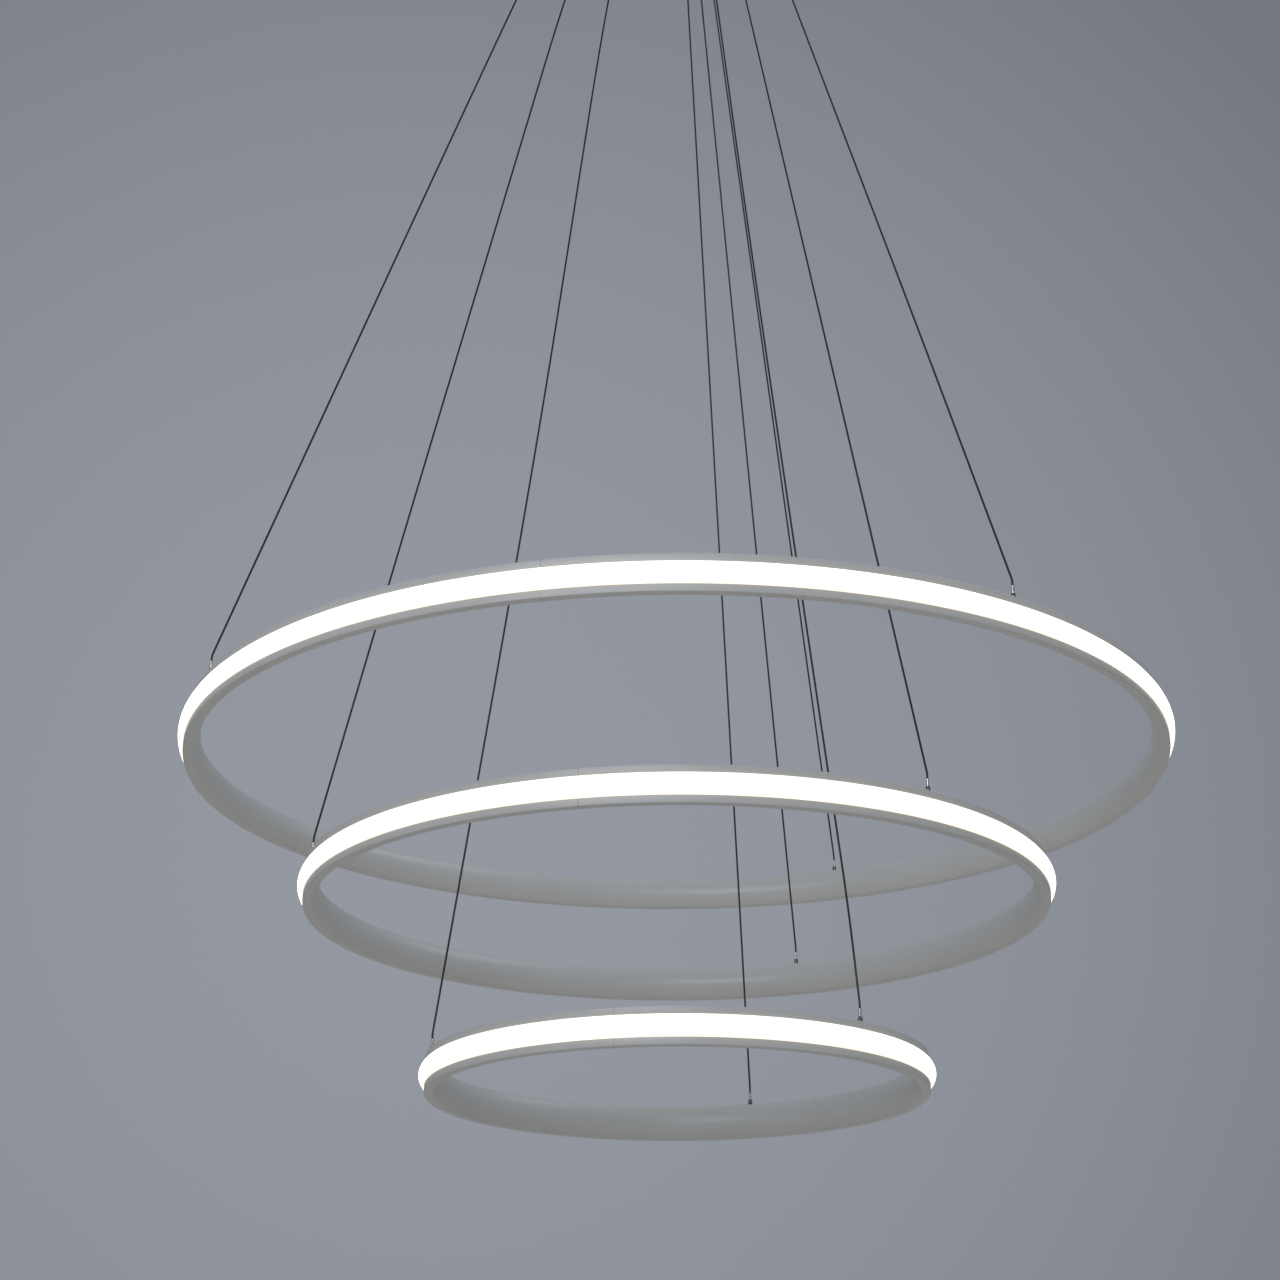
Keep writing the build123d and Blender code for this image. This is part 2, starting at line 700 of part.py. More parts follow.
with BuildPart() as earth_screw:
    with BuildSketch(Plane.XY.offset(plate_under)):
        with Locations(earth_position):
            Circle(earth_screw_radius)
    extrude(amount=plate_thickness)
    with BuildSketch(Plane.XY.offset(plate_under)):
        with Locations(earth_position):
            Circle(earth_head_radius)
    extrude(amount=-earth_head_height)
save(earth_screw, "earth_screw")

# ================================================================ leads inside the canopy
block_end = block_face - wire_entry_depth
block_run = block_face + lead_straight
driver_end = -driver_length / 2
driver_face = driver_y - driver_width / 2
gland_z = plate_under - gland_drop
output_z = plate_under - output_drop
live_route = [
    (-block_pitch, block_end, wire_z), (-block_pitch, block_run, wire_z), *live_passing,
    (driver_end - lead_straight, driver_y - live_setback, gland_z),
    (driver_end, driver_y - live_setback, gland_z),
]
neutral_route = [
    (0, block_end, wire_z), (0, block_run, wire_z), *neutral_passing,
    (driver_end - lead_straight, driver_y - neutral_setback, gland_z),
    (driver_end, driver_y - neutral_setback, gland_z),
]
earth_route = [
    (block_pitch, block_end, wire_z), (block_pitch, block_run, wire_z), earth_passing,
    (*earth_position, plate_under - earth_loop), (*earth_position, plate_under - earth_head_height),
]
mains_tubes = [
    tube([Vector(*point) for point in route], mains_lead_radius)[0].part
    for route in (live_route, neutral_route, earth_route)
]
with BuildPart() as mains_leads:
    add(mains_tubes)
save(mains_leads, "mains_leads")

output_tubes = []
for (ring, side), leaving in output_leaving.items():
    tail = flat(gripper_circle[ring], cord_azimuth[ring][side])
    places = [
        (leaving, driver_face), (leaving, driver_face - output_run), *output_passing[ring, side], tail,
    ]
    route = [Vector(*place, output_z) for place in places] + [Vector(*tail, tail_top)]
    output_tubes.append(tube(route, output_lead_radius)[0].part)
with BuildPart() as output_leads:
    add(output_tubes)
save(output_leads, "output_leads")
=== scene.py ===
"""LED ring chandelier: the looks of the lamp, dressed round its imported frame.

Everything is in metres in the frame's own axes: +Z up, the ceiling at zero height, +Y the far side.
Azimuths are degrees from +X towards +Y.
"""

from __future__ import annotations

import json
import logging
import math
from dataclasses import dataclass, field
from enum import Enum

import bmesh
import bpy
import numpy as np
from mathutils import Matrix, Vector


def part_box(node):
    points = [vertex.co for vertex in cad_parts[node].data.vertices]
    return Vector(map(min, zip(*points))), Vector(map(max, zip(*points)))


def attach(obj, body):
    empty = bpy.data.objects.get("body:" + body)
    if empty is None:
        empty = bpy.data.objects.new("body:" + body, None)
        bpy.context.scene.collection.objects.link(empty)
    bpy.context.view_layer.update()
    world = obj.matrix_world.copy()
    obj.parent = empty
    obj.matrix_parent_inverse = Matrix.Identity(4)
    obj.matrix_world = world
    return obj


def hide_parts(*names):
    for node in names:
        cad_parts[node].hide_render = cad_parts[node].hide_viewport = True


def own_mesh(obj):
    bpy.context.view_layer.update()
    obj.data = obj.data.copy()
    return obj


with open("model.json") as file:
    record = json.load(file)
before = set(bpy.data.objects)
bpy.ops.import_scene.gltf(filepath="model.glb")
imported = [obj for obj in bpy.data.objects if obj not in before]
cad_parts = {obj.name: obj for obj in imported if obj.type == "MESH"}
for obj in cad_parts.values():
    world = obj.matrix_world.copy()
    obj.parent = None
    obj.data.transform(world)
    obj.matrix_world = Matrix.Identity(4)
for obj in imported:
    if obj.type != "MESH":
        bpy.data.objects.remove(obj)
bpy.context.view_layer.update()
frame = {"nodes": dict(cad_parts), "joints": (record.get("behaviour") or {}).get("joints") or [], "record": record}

log = logging.getLogger("ring_chandelier")
MM = 0.001
# A corner whose sides turn by less than this sine counts as straight.
STRAIGHT = 1e-6
# Points on the axis of a turned piece are one point when they lie this close.
WELD = 0.0005 * MM
# Edges that turn more than this many degrees stay sharp.
CREASE = 35.0
# Nearly all of a noise's values lie in this span.
NOISE_SPAN = (0.3, 0.7)

Colour = tuple[float, float, float, float]
Place = tuple[float, float, float]
Node = bpy.types.Node
Socket = bpy.types.NodeSocket
Tree = bpy.types.NodeTree
Material = bpy.types.Material
Piece = bpy.types.Object


class Tier(Enum):
    """The three rings, by size."""

    LARGE = "large"
    MIDDLE = "middle"
    SMALL = "small"

    @property
    def body(self) -> str:
        """The body that the ring's pieces ride on."""
        return f"{self.value}_ring"

    def node(self, part: str) -> str:
        """The frame's name for one of the ring's pieces, or for its lift."""
        return f"{self.value}_ring_{part}"

    def box(self, part: str) -> tuple[Vector, Vector]:
        """The low and high corners of one of the ring's pieces."""
        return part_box(self.node(part))


class Side(Enum):
    """The three cords of a ring, as the front view shows them."""

    LEFT = "left"
    RIGHT = "right"
    FAR = "far"


# ---------------- camera and studio


@dataclass(frozen=True)
class Viewpoint:
    """The camera: below the rings, looking up at them."""

    place: Place = (0.0, -1.8, -1.539)
    pitch_degrees: float = 21.86
    yaw_degrees: float = 0.913
    lens: float = 65.25
    sensor: float = 36.0

    def build(self) -> None:
        """Makes the camera and gives it to the scene."""
        data = bpy.data.cameras.new("viewpoint")
        data.lens = self.lens
        data.sensor_width = self.sensor
        camera = bpy.data.objects.new("viewpoint", data)
        camera.location = self.place
        camera.rotation_euler = (
            math.radians(90.0 + self.pitch_degrees), 0.0, math.radians(self.yaw_degrees))
        bpy.context.scene.collection.objects.link(camera)
        bpy.context.scene.camera = camera


@dataclass(frozen=True)
class SoftLamp:
    """One soft lamp with an oblong face, turned towards the rings."""

    name: str
    place: Place
    width: float
    height: float
    power: float
    colour: tuple[float, float, float] = (0.90, 0.94, 1.0)
    target: Place = (0.0, 0.0, -1.0)

    def build(self) -> None:
        """Makes the lamp and links it."""
        data = bpy.data.lights.new(self.name, "AREA")
        data.shape = "RECTANGLE"
        data.size = self.width
        data.size_y = self.height
        data.energy = self.power
        data.color = self.colour
        lamp = bpy.data.objects.new(self.name, data)
        lamp.location = self.place
        aim = Vector(self.target) - Vector(self.place)
        lamp.rotation_euler = aim.to_track_quat("-Z", "Y").to_euler()
        bpy.context.scene.collection.objects.link(lamp)


# ---------------- laying shader nodes


class Bench:
    """Lays the nodes of one shader tree and joins them."""

    def __init__(self, tree: Tree) -> None:
        """Starts work on a tree."""
        self.tree = tree

    def node(self, kind: str, inputs: dict | None = None, **settings: object) -> Node:
        """Adds one node.

        Args:
            kind: Blender's name for the node type.
            inputs: socket name or number to a value, or to the output that feeds it.
            settings: the node's own properties.

        Returns:
            The new node.
        """
        made = self.tree.nodes.new(kind)
        for name, value in settings.items():
            setattr(made, name, value)
        for name, value in (inputs or {}).items():
            if isinstance(value, Socket):
                self.tree.links.new(value, made.inputs[name])
            else:
                made.inputs[name].default_value = value
        return made

    def maths(self, operation: str, first: object, second: object = 0.0) -> Socket:
        """Joins two values by one operation.

        Args:
            operation: Blender's name for it, such as MULTIPLY.
            first: a value or an output.
            second: a value or an output.

        Returns:
            The result's output.
        """
        return self.node("ShaderNodeMath", {0: first, 1: second}, operation=operation).outputs[0]

    def blend(self, share: object, first: object, second: object) -> Socket:
        """Mixes two colours.

        Args:
            share: how much of the second, from 0 to 1.
            first: a colour or an output.
            second: a colour or an output.

        Returns:
            The mixed colour's output.
        """
        made = self.node("ShaderNodeMix", {0: share, 6: first, 7: second}, data_type="RGBA")
        return made.outputs[2]

    def span(self, value: object, reach: tuple[float, float], start: float = 0.0,
             end: float = 1.0) -> Socket:
        """Carries a value from one span to another.

        Args:
            value: the output to carry.
            reach: the new low and high ends.
            start: the old low end.
            end: the old high end.

        Returns:
            The carried value's output.
        """
        made = self.node("ShaderNodeMapRange", {
            "Value": value, "From Min": start, "From Max": end,
            "To Min": reach[0], "To Max": reach[1]})
        return made.outputs[0]

    def place(self, chart: str = "Object") -> Socket:
        """Where a point of the surface lies on one of its charts."""
        return self.node("ShaderNodeTexCoord").outputs[chart]

    def parts(self, vector: Socket) -> object:
        """The three parts of a vector."""
        return self.node("ShaderNodeSeparateXYZ", {0: vector}).outputs

    def noise(self, place: Socket, scale: object, detail: float,
              roughness: float = 0.5) -> Socket:
        """Lays a noise.

        Args:
            place: where it is read.
            scale: its fineness, a value or an output.
            detail: how many finer layers it has.
            roughness: how strong the finer layers are.

        Returns:
            The noise's value.
        """
        return self.node("ShaderNodeTexNoise", {
            "Vector": place, "Scale": scale, "Detail": detail, "Roughness": roughness}).outputs[0]

    def bump(self, height: Socket, depth: float, strength: float) -> Socket:
        """Turns a height into a normal.

        Args:
            height: the output to read, from 0 to 1.
            depth: what a height of 1 stands for, in millimetres.
            strength: how much of it shows.

        Returns:
            The normal's output.
        """
        return self.node("ShaderNodeBump", {
            "Strength": strength, "Distance": depth * MM, "Height": height}).outputs[0]

    def feed(self, shader: Node, **outputs: Socket) -> None:
        """Joins outputs to the shader's sockets, named with underscores for spaces."""
        for name, output in outputs.items():
            self.tree.links.new(output, shader.inputs[name.replace("_", " ")])


class Effect:
    """A shader node group that more than one finish uses, built once."""

    name = "effect"
    inputs: dict[str, float] = {}
    outputs: tuple[str, ...] = ()

    @classmethod
    def tree(cls) -> Tree:
        """The group's tree, made the first time it is asked for.

        Returns:
            The group's tree.
        """
        found = bpy.data.node_groups.get(cls.name)
        if found:
            return found
        made = bpy.data.node_groups.new(cls.name, "ShaderNodeTree")
        for name, value in cls.inputs.items():
            socket = made.interface.new_socket(
                name=name, in_out="INPUT", socket_type="NodeSocketFloat")
            socket.default_value = value
        for name in cls.outputs:
            made.interface.new_socket(name=name, in_out="OUTPUT", socket_type="NodeSocketFloat")
        bench = Bench(made)
        entry = bench.node("NodeGroupInput")
        results = cls.lay(bench, entry.outputs)
        bench.node("NodeGroupOutput", dict(zip(cls.outputs, results)))
        return made

    @classmethod
    def lay(cls, bench: Bench, entry: object) -> tuple:
        """Lays the group's nodes and returns its results in the order of its outputs."""
        raise NotImplementedError

    @classmethod
    def place(cls, bench: Bench, **values: float) -> tuple:
        """Places the group in a material with its own values, and returns its outputs.

        Args:
            bench: the material's bench.
            values: the group's inputs, by name.

        Returns:
            The group's outputs, in their order.
        """
        placed = bench.node("ShaderNodeGroup", node_tree=cls.tree())
        for name, value in values.items():
            placed.inputs[name.replace("_", " ").capitalize()].default_value = value
        return tuple(placed.outputs[name] for name in cls.outputs)


class FineSkin(Effect):
    """Orange peel of sprayed powder, or the grain of moulded plastic, and a slow change of tone."""

    name = "fine_skin"
    inputs = {"Scale": 900.0, "Tone scale": 14.0}
    outputs = ("Height", "Tone")
    fineness = 3.7
    fine_share = 0.35

    @classmethod
    def lay(cls, bench: Bench, entry: object) -> tuple:
        """Two noises added for the height, and one slow noise for the tone.

        Args:
            bench: the group's bench.
            entry: the outputs that carry the group's inputs.

        Returns:
            The height and the tone.
        """
        place = bench.place()
        finer = bench.maths("MULTIPLY", entry["Scale"], cls.fineness)
        coarse = bench.noise(place, entry["Scale"], detail=2.0)
        fine = bench.maths("MULTIPLY", bench.noise(place, finer, detail=1.0), cls.fine_share)
        slow = bench.noise(place, entry["Tone scale"], detail=4.0, roughness=0.6)
        return bench.maths("ADD", coarse, fine), slow


class ToolMarks(Effect):
    """Fine rings or streaks that a tool leaves: noise drawn out level and pressed close in height."""

    name = "tool_marks"
    inputs = {"Along": 40.0, "Across": 9000.0}
    outputs = ("Height", "Tone")
    smear_scale = 160.0

    @classmethod
    def lay(cls, bench: Bench, entry: object) -> tuple:
        """Noise on a place that is scaled little across the piece and much up it.

        Args:
            bench: the group's bench.
            entry: the outputs that carry the group's inputs.

        Returns:
            The marks' height and the smears' tone.
        """
        place = bench.place()
        scale = bench.node("ShaderNodeCombineXYZ", {
            "X": entry["Along"], "Y": entry["Along"], "Z": entry["Across"]}).outputs[0]
        drawn = bench.node("ShaderNodeVectorMath", {0: place, 1: scale}, operation="MULTIPLY")
        return (bench.noise(drawn.outputs[0], 1.0, detail=3.0),
                bench.noise(place, cls.smear_scale, detail=3.0))


class SettledDust(Effect):
    """A mask of the dust that lies on faces that look up."""

    name = "settled_dust"
    inputs = {"Amount": 0.3}
    outputs = ("Mask",)
    slope_span = (0.35, 0.95)
    patch_scale = 55.0

    @classmethod
    def lay(cls, bench: Bench, entry: object) -> tuple:
        """The upward part of the normal, broken up by noise, times the amount.

        Args:
            bench: the group's bench.
            entry: the outputs that carry the group's inputs.

        Returns:
            The mask.
        """
        upward = bench.parts(bench.node("ShaderNodeNewGeometry").outputs["Normal"])[2]
        level = bench.span(upward, (0.0, 1.0), *cls.slope_span)
        patches = bench.noise(bench.place(), cls.patch_scale, detail=6.0, roughness=0.65)
        broken = bench.span(patches, (0.0, 1.0), *NOISE_SPAN)
        return (bench.maths("MULTIPLY", bench.maths("MULTIPLY", level, broken), entry["Amount"]),)


# ---------------- finishes


def new_material(name: str, **plain: object) -> tuple[Material, Bench, Node]:
    """Makes a material with one Principled shader.

    Args:
        name: the material's name.
        plain: sockets whose value is the same all over, such as Metallic.

    Returns:
        The material, the bench for its tree, and its shader.
    """
    material = bpy.data.materials.new(name)
    material.use_nodes = True
    shader = material.node_tree.nodes["Principled BSDF"]
    for socket, value in plain.items():
        shader.inputs[socket.replace("_", " ")].default_value = value
    return material, Bench(material.node_tree), shader


def spread(colour: Colour, share: float) -> tuple[Colour, Colour]:
    """A colour made darker and lighter by a share of itself.

    Args:
        colour: the colour.
        share: how far to each side.

    Returns:
        The darker and the lighter colour.
    """
    red, green, blue, _ = colour
    darker, lighter = (
        (red * factor, green * factor, blue * factor, 1.0) for factor in (1.0 - share, 1.0 + share))
    return darker, lighter


@dataclass(frozen=True)
class DustLayer:
    """Dust lying on a finish: how much, its colour, and what it adds to the roughness."""

    amount: float
    colour: Colour
    roughness: float

    def over(self, bench: Bench, toned: Socket,
             rough: Socket) -> tuple[Socket, Socket]:
        """Lays the dust over a finish.

        Args:
            bench: the material's bench.
            toned: the clean colour.
            rough: the clean roughness.

        Returns:
            The dusty colour and roughness.
        """
        mask, = SettledDust.place(bench, amount=self.amount)
        added = bench.maths("ADD", rough, bench.maths("MULTIPLY", mask, self.roughness))
        return bench.blend(mask, toned, self.colour), bench.maths("MINIMUM", added, 1.0)


@dataclass(frozen=True)
class Coating:
    """Powder paint, moulded plastic or rubber: a fine skin over one colour.  Depths in millimetres."""

    name: str
    colour: Colour
    roughness: tuple[float, float]
    skin_scale: float = 900.0
    skin_depth: float = 0.02
    skin_strength: float = 0.35
    tone_spread: float = 0.03
    dust: float = 0.3
    dust_colour: Colour = (0.46, 0.44, 0.41, 1.0)
    dust_roughness: float = 0.5

    def build(self) -> Material:
        """Lays the paint's slow change of tone, its dust, its roughness and its skin.

        Returns:
            The finish.
        """
        material, bench, shader = new_material(self.name, Metallic=0.0)
        height, tone = FineSkin.place(bench, scale=self.skin_scale)
        low, high = spread(self.colour, self.tone_spread)
        toned = bench.blend(bench.span(tone, (0.0, 1.0), *NOISE_SPAN), low, high)
        dusty, rough = DustLayer(self.dust, self.dust_colour, self.dust_roughness).over(
            bench, toned, bench.span(tone, self.roughness, *NOISE_SPAN))
        bench.feed(shader, Base_Color=dusty, Roughness=rough,
                   Normal=bench.bump(height, self.skin_depth, self.skin_strength))
        return material


@dataclass(frozen=True)
class Metal:
    """Plated, turned or drawn metal: tool marks, smears and a little dust.  Depths in millimetres."""

    name: str
    colour: Colour
    roughness: tuple[float, float]
    along: float = 40.0
    across: float = 9000.0
    mark_depth: float = 0.004
    mark_strength: float = 0.3
    smear_span: tuple[float, float] = (0.35, 0.65)
    tone_spread: float = 0.08
    dust: float = 0.15
    dust_colour: Colour = (0.42, 0.40, 0.37, 1.0)
    dust_roughness: float = 0.6

    def build(self) -> Material:
        """Lays the marks over the plated colour, rougher where smears and marks are strong.

        Returns:
            The finish.
        """
        material, bench, shader = new_material(self.name, Metallic=1.0)
        height, tone = ToolMarks.place(bench, along=self.along, across=self.across)
        smears = bench.maths("MULTIPLY", bench.maths("ADD", tone, height), 0.5)
        dusty, rough = DustLayer(self.dust, self.dust_colour, self.dust_roughness).over(
            bench, bench.blend(tone, *spread(self.colour, self.tone_spread)),
            bench.span(smears, self.roughness, *self.smear_span))
        bench.feed(shader, Base_Color=dusty, Roughness=rough,
                   Normal=bench.bump(height, self.mark_depth, self.mark_strength))
        return material


@dataclass(frozen=True)
class OpalGlow:
    """Opal acrylic lit from inside: whitest along its middle, warmer towards its two edges."""

    name: str
    middle_height: float
    half_height: float
    strength: float = 2.0
    falloff: float = 2.0
    core: Colour = (1.0, 0.95, 0.87, 1.0)
    edge: Colour = (0.36, 0.305, 0.22, 1.0)
    milk: tuple[Colour, Colour] = ((0.93, 0.92, 0.89, 1.0), (0.97, 0.96, 0.94, 1.0))
    refraction: float = 1.49
    roughness: tuple[float, float] = (0.30, 0.40)
    skin_scale: float = 1500.0
    skin_depth: float = 0.01
    skin_strength: float = 0.2

    def build(self) -> Material:
        """Lays the glow by the height over the cover's middle line, and the acrylic's fine skin.

        Returns:
            The finish.
        """
        material, bench, shader = new_material(
            self.name, Metallic=0.0, IOR=self.refraction, Emission_Strength=self.strength)
        material.cycles.emission_sampling = "NONE"
        skin, tone = FineSkin.place(bench, scale=self.skin_scale)
        height = bench.parts(bench.place())[2]
        from_middle = bench.maths("ABSOLUTE", bench.maths("SUBTRACT", height, self.middle_height))
        share = bench.maths("POWER", bench.span(
            from_middle, (0.0, 1.0), 0.0, self.half_height), self.falloff)
        bench.feed(shader, Base_Color=bench.blend(tone, *self.milk),
                   Emission_Color=bench.blend(share, self.core, self.edge),
                   Roughness=bench.span(tone, self.roughness, *NOISE_SPAN),
                   Normal=bench.bump(skin, self.skin_depth, self.skin_strength))
        return material


@dataclass(frozen=True)
class StrandedCord:
    """Steel strands laid in a helix under a clear coat, with painted shade in the valleys between them.  The UV
    map runs in metres along the cord.
    """

    name: str
    strands: int = 6
    lay_length: float = 0.009
    valley_shade: Colour = (0.008, 0.008, 0.004, 1.0)
    crest: Colour = (0.050, 0.050, 0.034, 1.0)
    metallic: float = 0.6
    coat: float = 0.3
    coat_roughness: float = 0.2
    roughness: tuple[float, float] = (0.3, 0.45)
    wear_scale: float = 700.0
    wear_tone: tuple[float, float] = (0.75, 1.1)
    strand_depth: float = 0.12
    strand_strength: float = 0.8

    def build(self) -> Material:
        """Lays the strands: a sine of the turn round the cord plus the share of a lay along it.  The colour goes
        nearly black down each valley between strands, as painted shade.

        Returns:
            The finish.
        """
        material, bench, shader = new_material(
            self.name, Metallic=self.metallic, Coat_Weight=self.coat, Coat_Roughness=self.coat_roughness)
        chart = bench.parts(bench.place("UV"))
        along = bench.maths("DIVIDE", chart[0], self.lay_length)
        turns = bench.maths("MULTIPLY", bench.maths("ADD", chart[1], along), self.strands * math.tau)
        strand = bench.span(bench.maths("SINE", turns), (0.0, 1.0), -1.0, 1.0)
        _, wear = ToolMarks.place(bench, along=self.wear_scale, across=self.wear_scale)
        tone = bench.maths("MULTIPLY", strand, bench.span(wear, self.wear_tone, *NOISE_SPAN))
        # painted shade: the colour darkens to nearly black in the valleys between the strands
        bench.feed(shader, Base_Color=bench.blend(tone, self.valley_shade, self.crest),
                   Roughness=bench.span(wear, self.roughness, *NOISE_SPAN),
                   Normal=bench.bump(strand, self.strand_depth, self.strand_strength))
        return material


@dataclass(frozen=True)
class PrintedTape:
    """White flexible circuit with an unbroken yellow phosphor bead, and copper pads at each cut."""

    name: str
    middle_height: float
    face_radius: float
    pitch: float = 0.050
    bead_half: float = 1.5 * MM
    pad_height: float = 2.8 * MM
    pad_share: float = 0.035
    white: tuple[Colour, Colour] = ((0.84, 0.84, 0.82, 1.0), (0.93, 0.93, 0.91, 1.0))
    copper: Colour = (0.78, 0.60, 0.44, 1.0)
    phosphor: Colour = (0.93, 0.72, 0.22, 1.0)
    roughness: tuple[float, float] = (0.5, 0.3)
    skin_scale: float = 2200.0

    def build(self) -> Material:
        """Lays bead and pads by the azimuth round the ring and the height over its middle.

        Returns:
            The finish.
        """
        material, bench, shader = new_material(self.name, Metallic=0.0)
        place = bench.parts(bench.place())
        count = round(math.tau * self.face_radius / self.pitch)
        turn = bench.maths("DIVIDE", bench.maths("ARCTAN2", place[1], place[0]), math.tau)
        cell = bench.maths("FRACT", bench.maths("ADD", bench.maths("MULTIPLY", turn, count), 0.5))
        from_cut = bench.maths("ABSOLUTE", bench.maths("SUBTRACT", cell, 0.5))
        height = bench.maths("ABSOLUTE", bench.maths("SUBTRACT", place[2], self.middle_height))
        bead = bench.maths("LESS_THAN", height, self.bead_half)
        pad = bench.maths("MULTIPLY", bench.maths("LESS_THAN", from_cut, self.pad_share),
                          bench.maths("GREATER_THAN", height, self.pad_height))
        _, tone = FineSkin.place(bench, scale=self.skin_scale)
        padded = bench.blend(pad, bench.blend(tone, *self.white), self.copper)
        bench.feed(shader, Base_Color=bench.blend(bead, padded, self.phosphor),
                   Roughness=bench.span(bead, self.roughness))
        return material


@dataclass(frozen=True)
class CircuitBoard:
    """Green solder mask below the parts' feet, and dark parts above them."""

    name: str
    board_height: float
    feet: float = 0.2 * MM
    track_scale: float = 260.0
    track_width: float = 0.03
    mask: tuple[Colour, Colour] = ((0.03, 0.22, 0.08, 1.0), (0.04, 0.26, 0.10, 1.0))
    track: Colour = (0.12, 0.42, 0.18, 1.0)
    parts: tuple[Colour, Colour] = ((0.04, 0.04, 0.05, 1.0), (0.62, 0.50, 0.12, 1.0))
    roughness: tuple[float, float] = (0.3, 0.5)
    skin_scale: float = 1200.0

    def build(self) -> Material:
        """Lays mask, tracks and parts by height.

        Returns:
            The finish.
        """
        material, bench, shader = new_material(self.name, Metallic=0.0)
        place = bench.place()
        above = bench.maths("GREATER_THAN", bench.parts(place)[2], self.board_height + self.feet)
        tracks = bench.node("ShaderNodeTexBrick", {
            "Vector": place, "Scale": self.track_scale, "Mortar Size": self.track_width,
            "Color1": self.mask[0], "Color2": self.mask[1], "Mortar": self.track}).outputs[0]
        _, tone = FineSkin.place(bench, scale=self.skin_scale)
        bench.feed(shader, Base_Color=bench.blend(above, tracks, bench.blend(tone, *self.parts)),
                   Roughness=bench.span(tone, self.roughness, *NOISE_SPAN))
        return material


# ---------------- surfaces


class Skin:
    """Gathers grids of points into one mesh."""

    def __init__(self) -> None:
        """Starts an empty mesh."""
        self.points: list[np.ndarray] = []
        self.faces: list[list[int]] = []
        self.charts: list[np.ndarray] = []
        self.count = 0

    def add(self, grid: np.ndarray, u: np.ndarray, v: np.ndarray, close_rows: bool = False) -> None:
        """Adds a tube-like grid whose columns close round on themselves.

        Rows i and i + 1 and columns j and j + 1 bound each face.  Open ends get a flat cap.  Where
        the grid encloses a negative volume, its columns are taken the other way round.

        Args:
            grid: points as rows by columns by 3.
            u: the chart's value at each row, with one more where the rows close too.
            v: the chart's value at each column, with one more for the seam.
            close_rows: whether the last row joins the first.
        """
        rows, columns = grid.shape[:2]
        ahead = np.roll(grid, -1, axis=0) - grid
        around = np.roll(grid, -1, axis=1) - grid
        spans = slice(None) if close_rows else slice(0, rows - 1)
        centre = grid.reshape(-1, 3).mean(axis=0)
        outward = np.cross(ahead, around)[spans]
        if ((grid - centre)[spans] * outward).sum() < 0.0:
            grid = grid[:, ::-1]
        row = np.arange(rows if close_rows else rows - 1)[:, None]
        column = np.arange(columns)[None, :]
        next_row, next_column = (row + 1) % rows, (column + 1) % columns
        corners = np.stack([row * columns + column, next_row * columns + column,
                            next_row * columns + next_column, row * columns + next_column], axis=-1)
        self.faces += (corners.reshape(-1, 4) + self.count).tolist()
        chart = np.stack(np.broadcast_arrays(
            np.stack([u[row], u[row + 1], u[row + 1], u[row]], axis=-1),
            np.stack([v[column], v[column], v[column + 1], v[column + 1]], axis=-1)), axis=-1)
        self.charts.append(chart.reshape(-1, 2))
        if not close_rows:
            first = np.arange(columns)
            last = (rows - 1) * columns + first
            self.faces += [(first + self.count).tolist(), (last[::-1] + self.count).tolist()]
            self.charts += [np.stack([np.full(columns, u[0]), v[:-1]], axis=-1),
                            np.stack([np.full(columns, u[-1]), v[:-1]], axis=-1)]
        self.points.append(grid.reshape(-1, 3))
        self.count += rows * columns

    def turn(self, outline: np.ndarray, place: Place | Vector, axis: Place | Vector = (0.0, 0.0, 1.0),
             segments: int = 24, relief: Knurl | HexSocket | None = None) -> None:
        """Adds an outline turned about an axis, with its chart in turns and shares.

        A point of the outline at radius r and height h goes to place + r (cos t a + sin t b) +
        h axis, with a and b square to the axis.

        Args:
            outline: closed outline, radius and height.
            place: where the outline's zero stands.
            axis: the direction of its heights.
            segments: steps round the axis.
            relief: ridges or a socket, that change the radius round the axis.
        """
        up = np.array(axis, float) / np.linalg.norm(axis)
        upright = abs(up[2]) > abs(up[0]) + abs(up[1])
        helper = np.array([1.0, 0.0, 0.0] if upright else [0.0, 0.0, 1.0])
        first = np.cross(helper, up)
        first /= np.linalg.norm(first)
        second = np.cross(up, first)
        angle = np.arange(segments)[:, None] * math.tau / segments
        radius = relief.radii(angle, outline) if relief else np.broadcast_to(
            outline[None, :, 0], (segments, len(outline)))
        flat = radius[..., None] * (np.cos(angle)[..., None] * first + np.sin(angle)[..., None] * second)
        self.add(np.array(place) + flat + outline[None, :, 1:] * up, np.linspace(0.0, 1.0, segments + 1),
                 np.linspace(0.0, 1.0, len(outline) + 1), close_rows=True)

    def finish(self, name: str, material: Material) -> Piece:
        """Makes the object.

        Args:
            name: the object's name.
            material: its finish.

        Returns:
            The linked object.
        """
        mesh = bpy.data.meshes.new(name)
        mesh.from_pydata(np.concatenate(self.points).tolist(), [], self.faces)
        chart = mesh.uv_layers.new(name="chart")
        chart.data.foreach_set("uv", np.concatenate(self.charts).astype(np.float32).ravel())
        self.close_poles(mesh)
        mesh.shade_smooth()
        mesh.set_sharp_from_angle(angle=math.radians(CREASE))
        mesh.materials.append(material)
        made = bpy.data.objects.new(name, mesh)
        bpy.context.scene.collection.objects.link(made)
        return made

    @staticmethod
    def close_poles(mesh: bpy.types.Mesh) -> None:
        """Merges the points of a turned piece that lie together on its axis.

        Args:
            mesh: the mesh, which is changed.
        """
        shell = bmesh.new()
        shell.from_mesh(mesh)
        bmesh.ops.remove_doubles(shell, verts=shell.verts, dist=WELD)
        shell.to_mesh(mesh)
        shell.free()


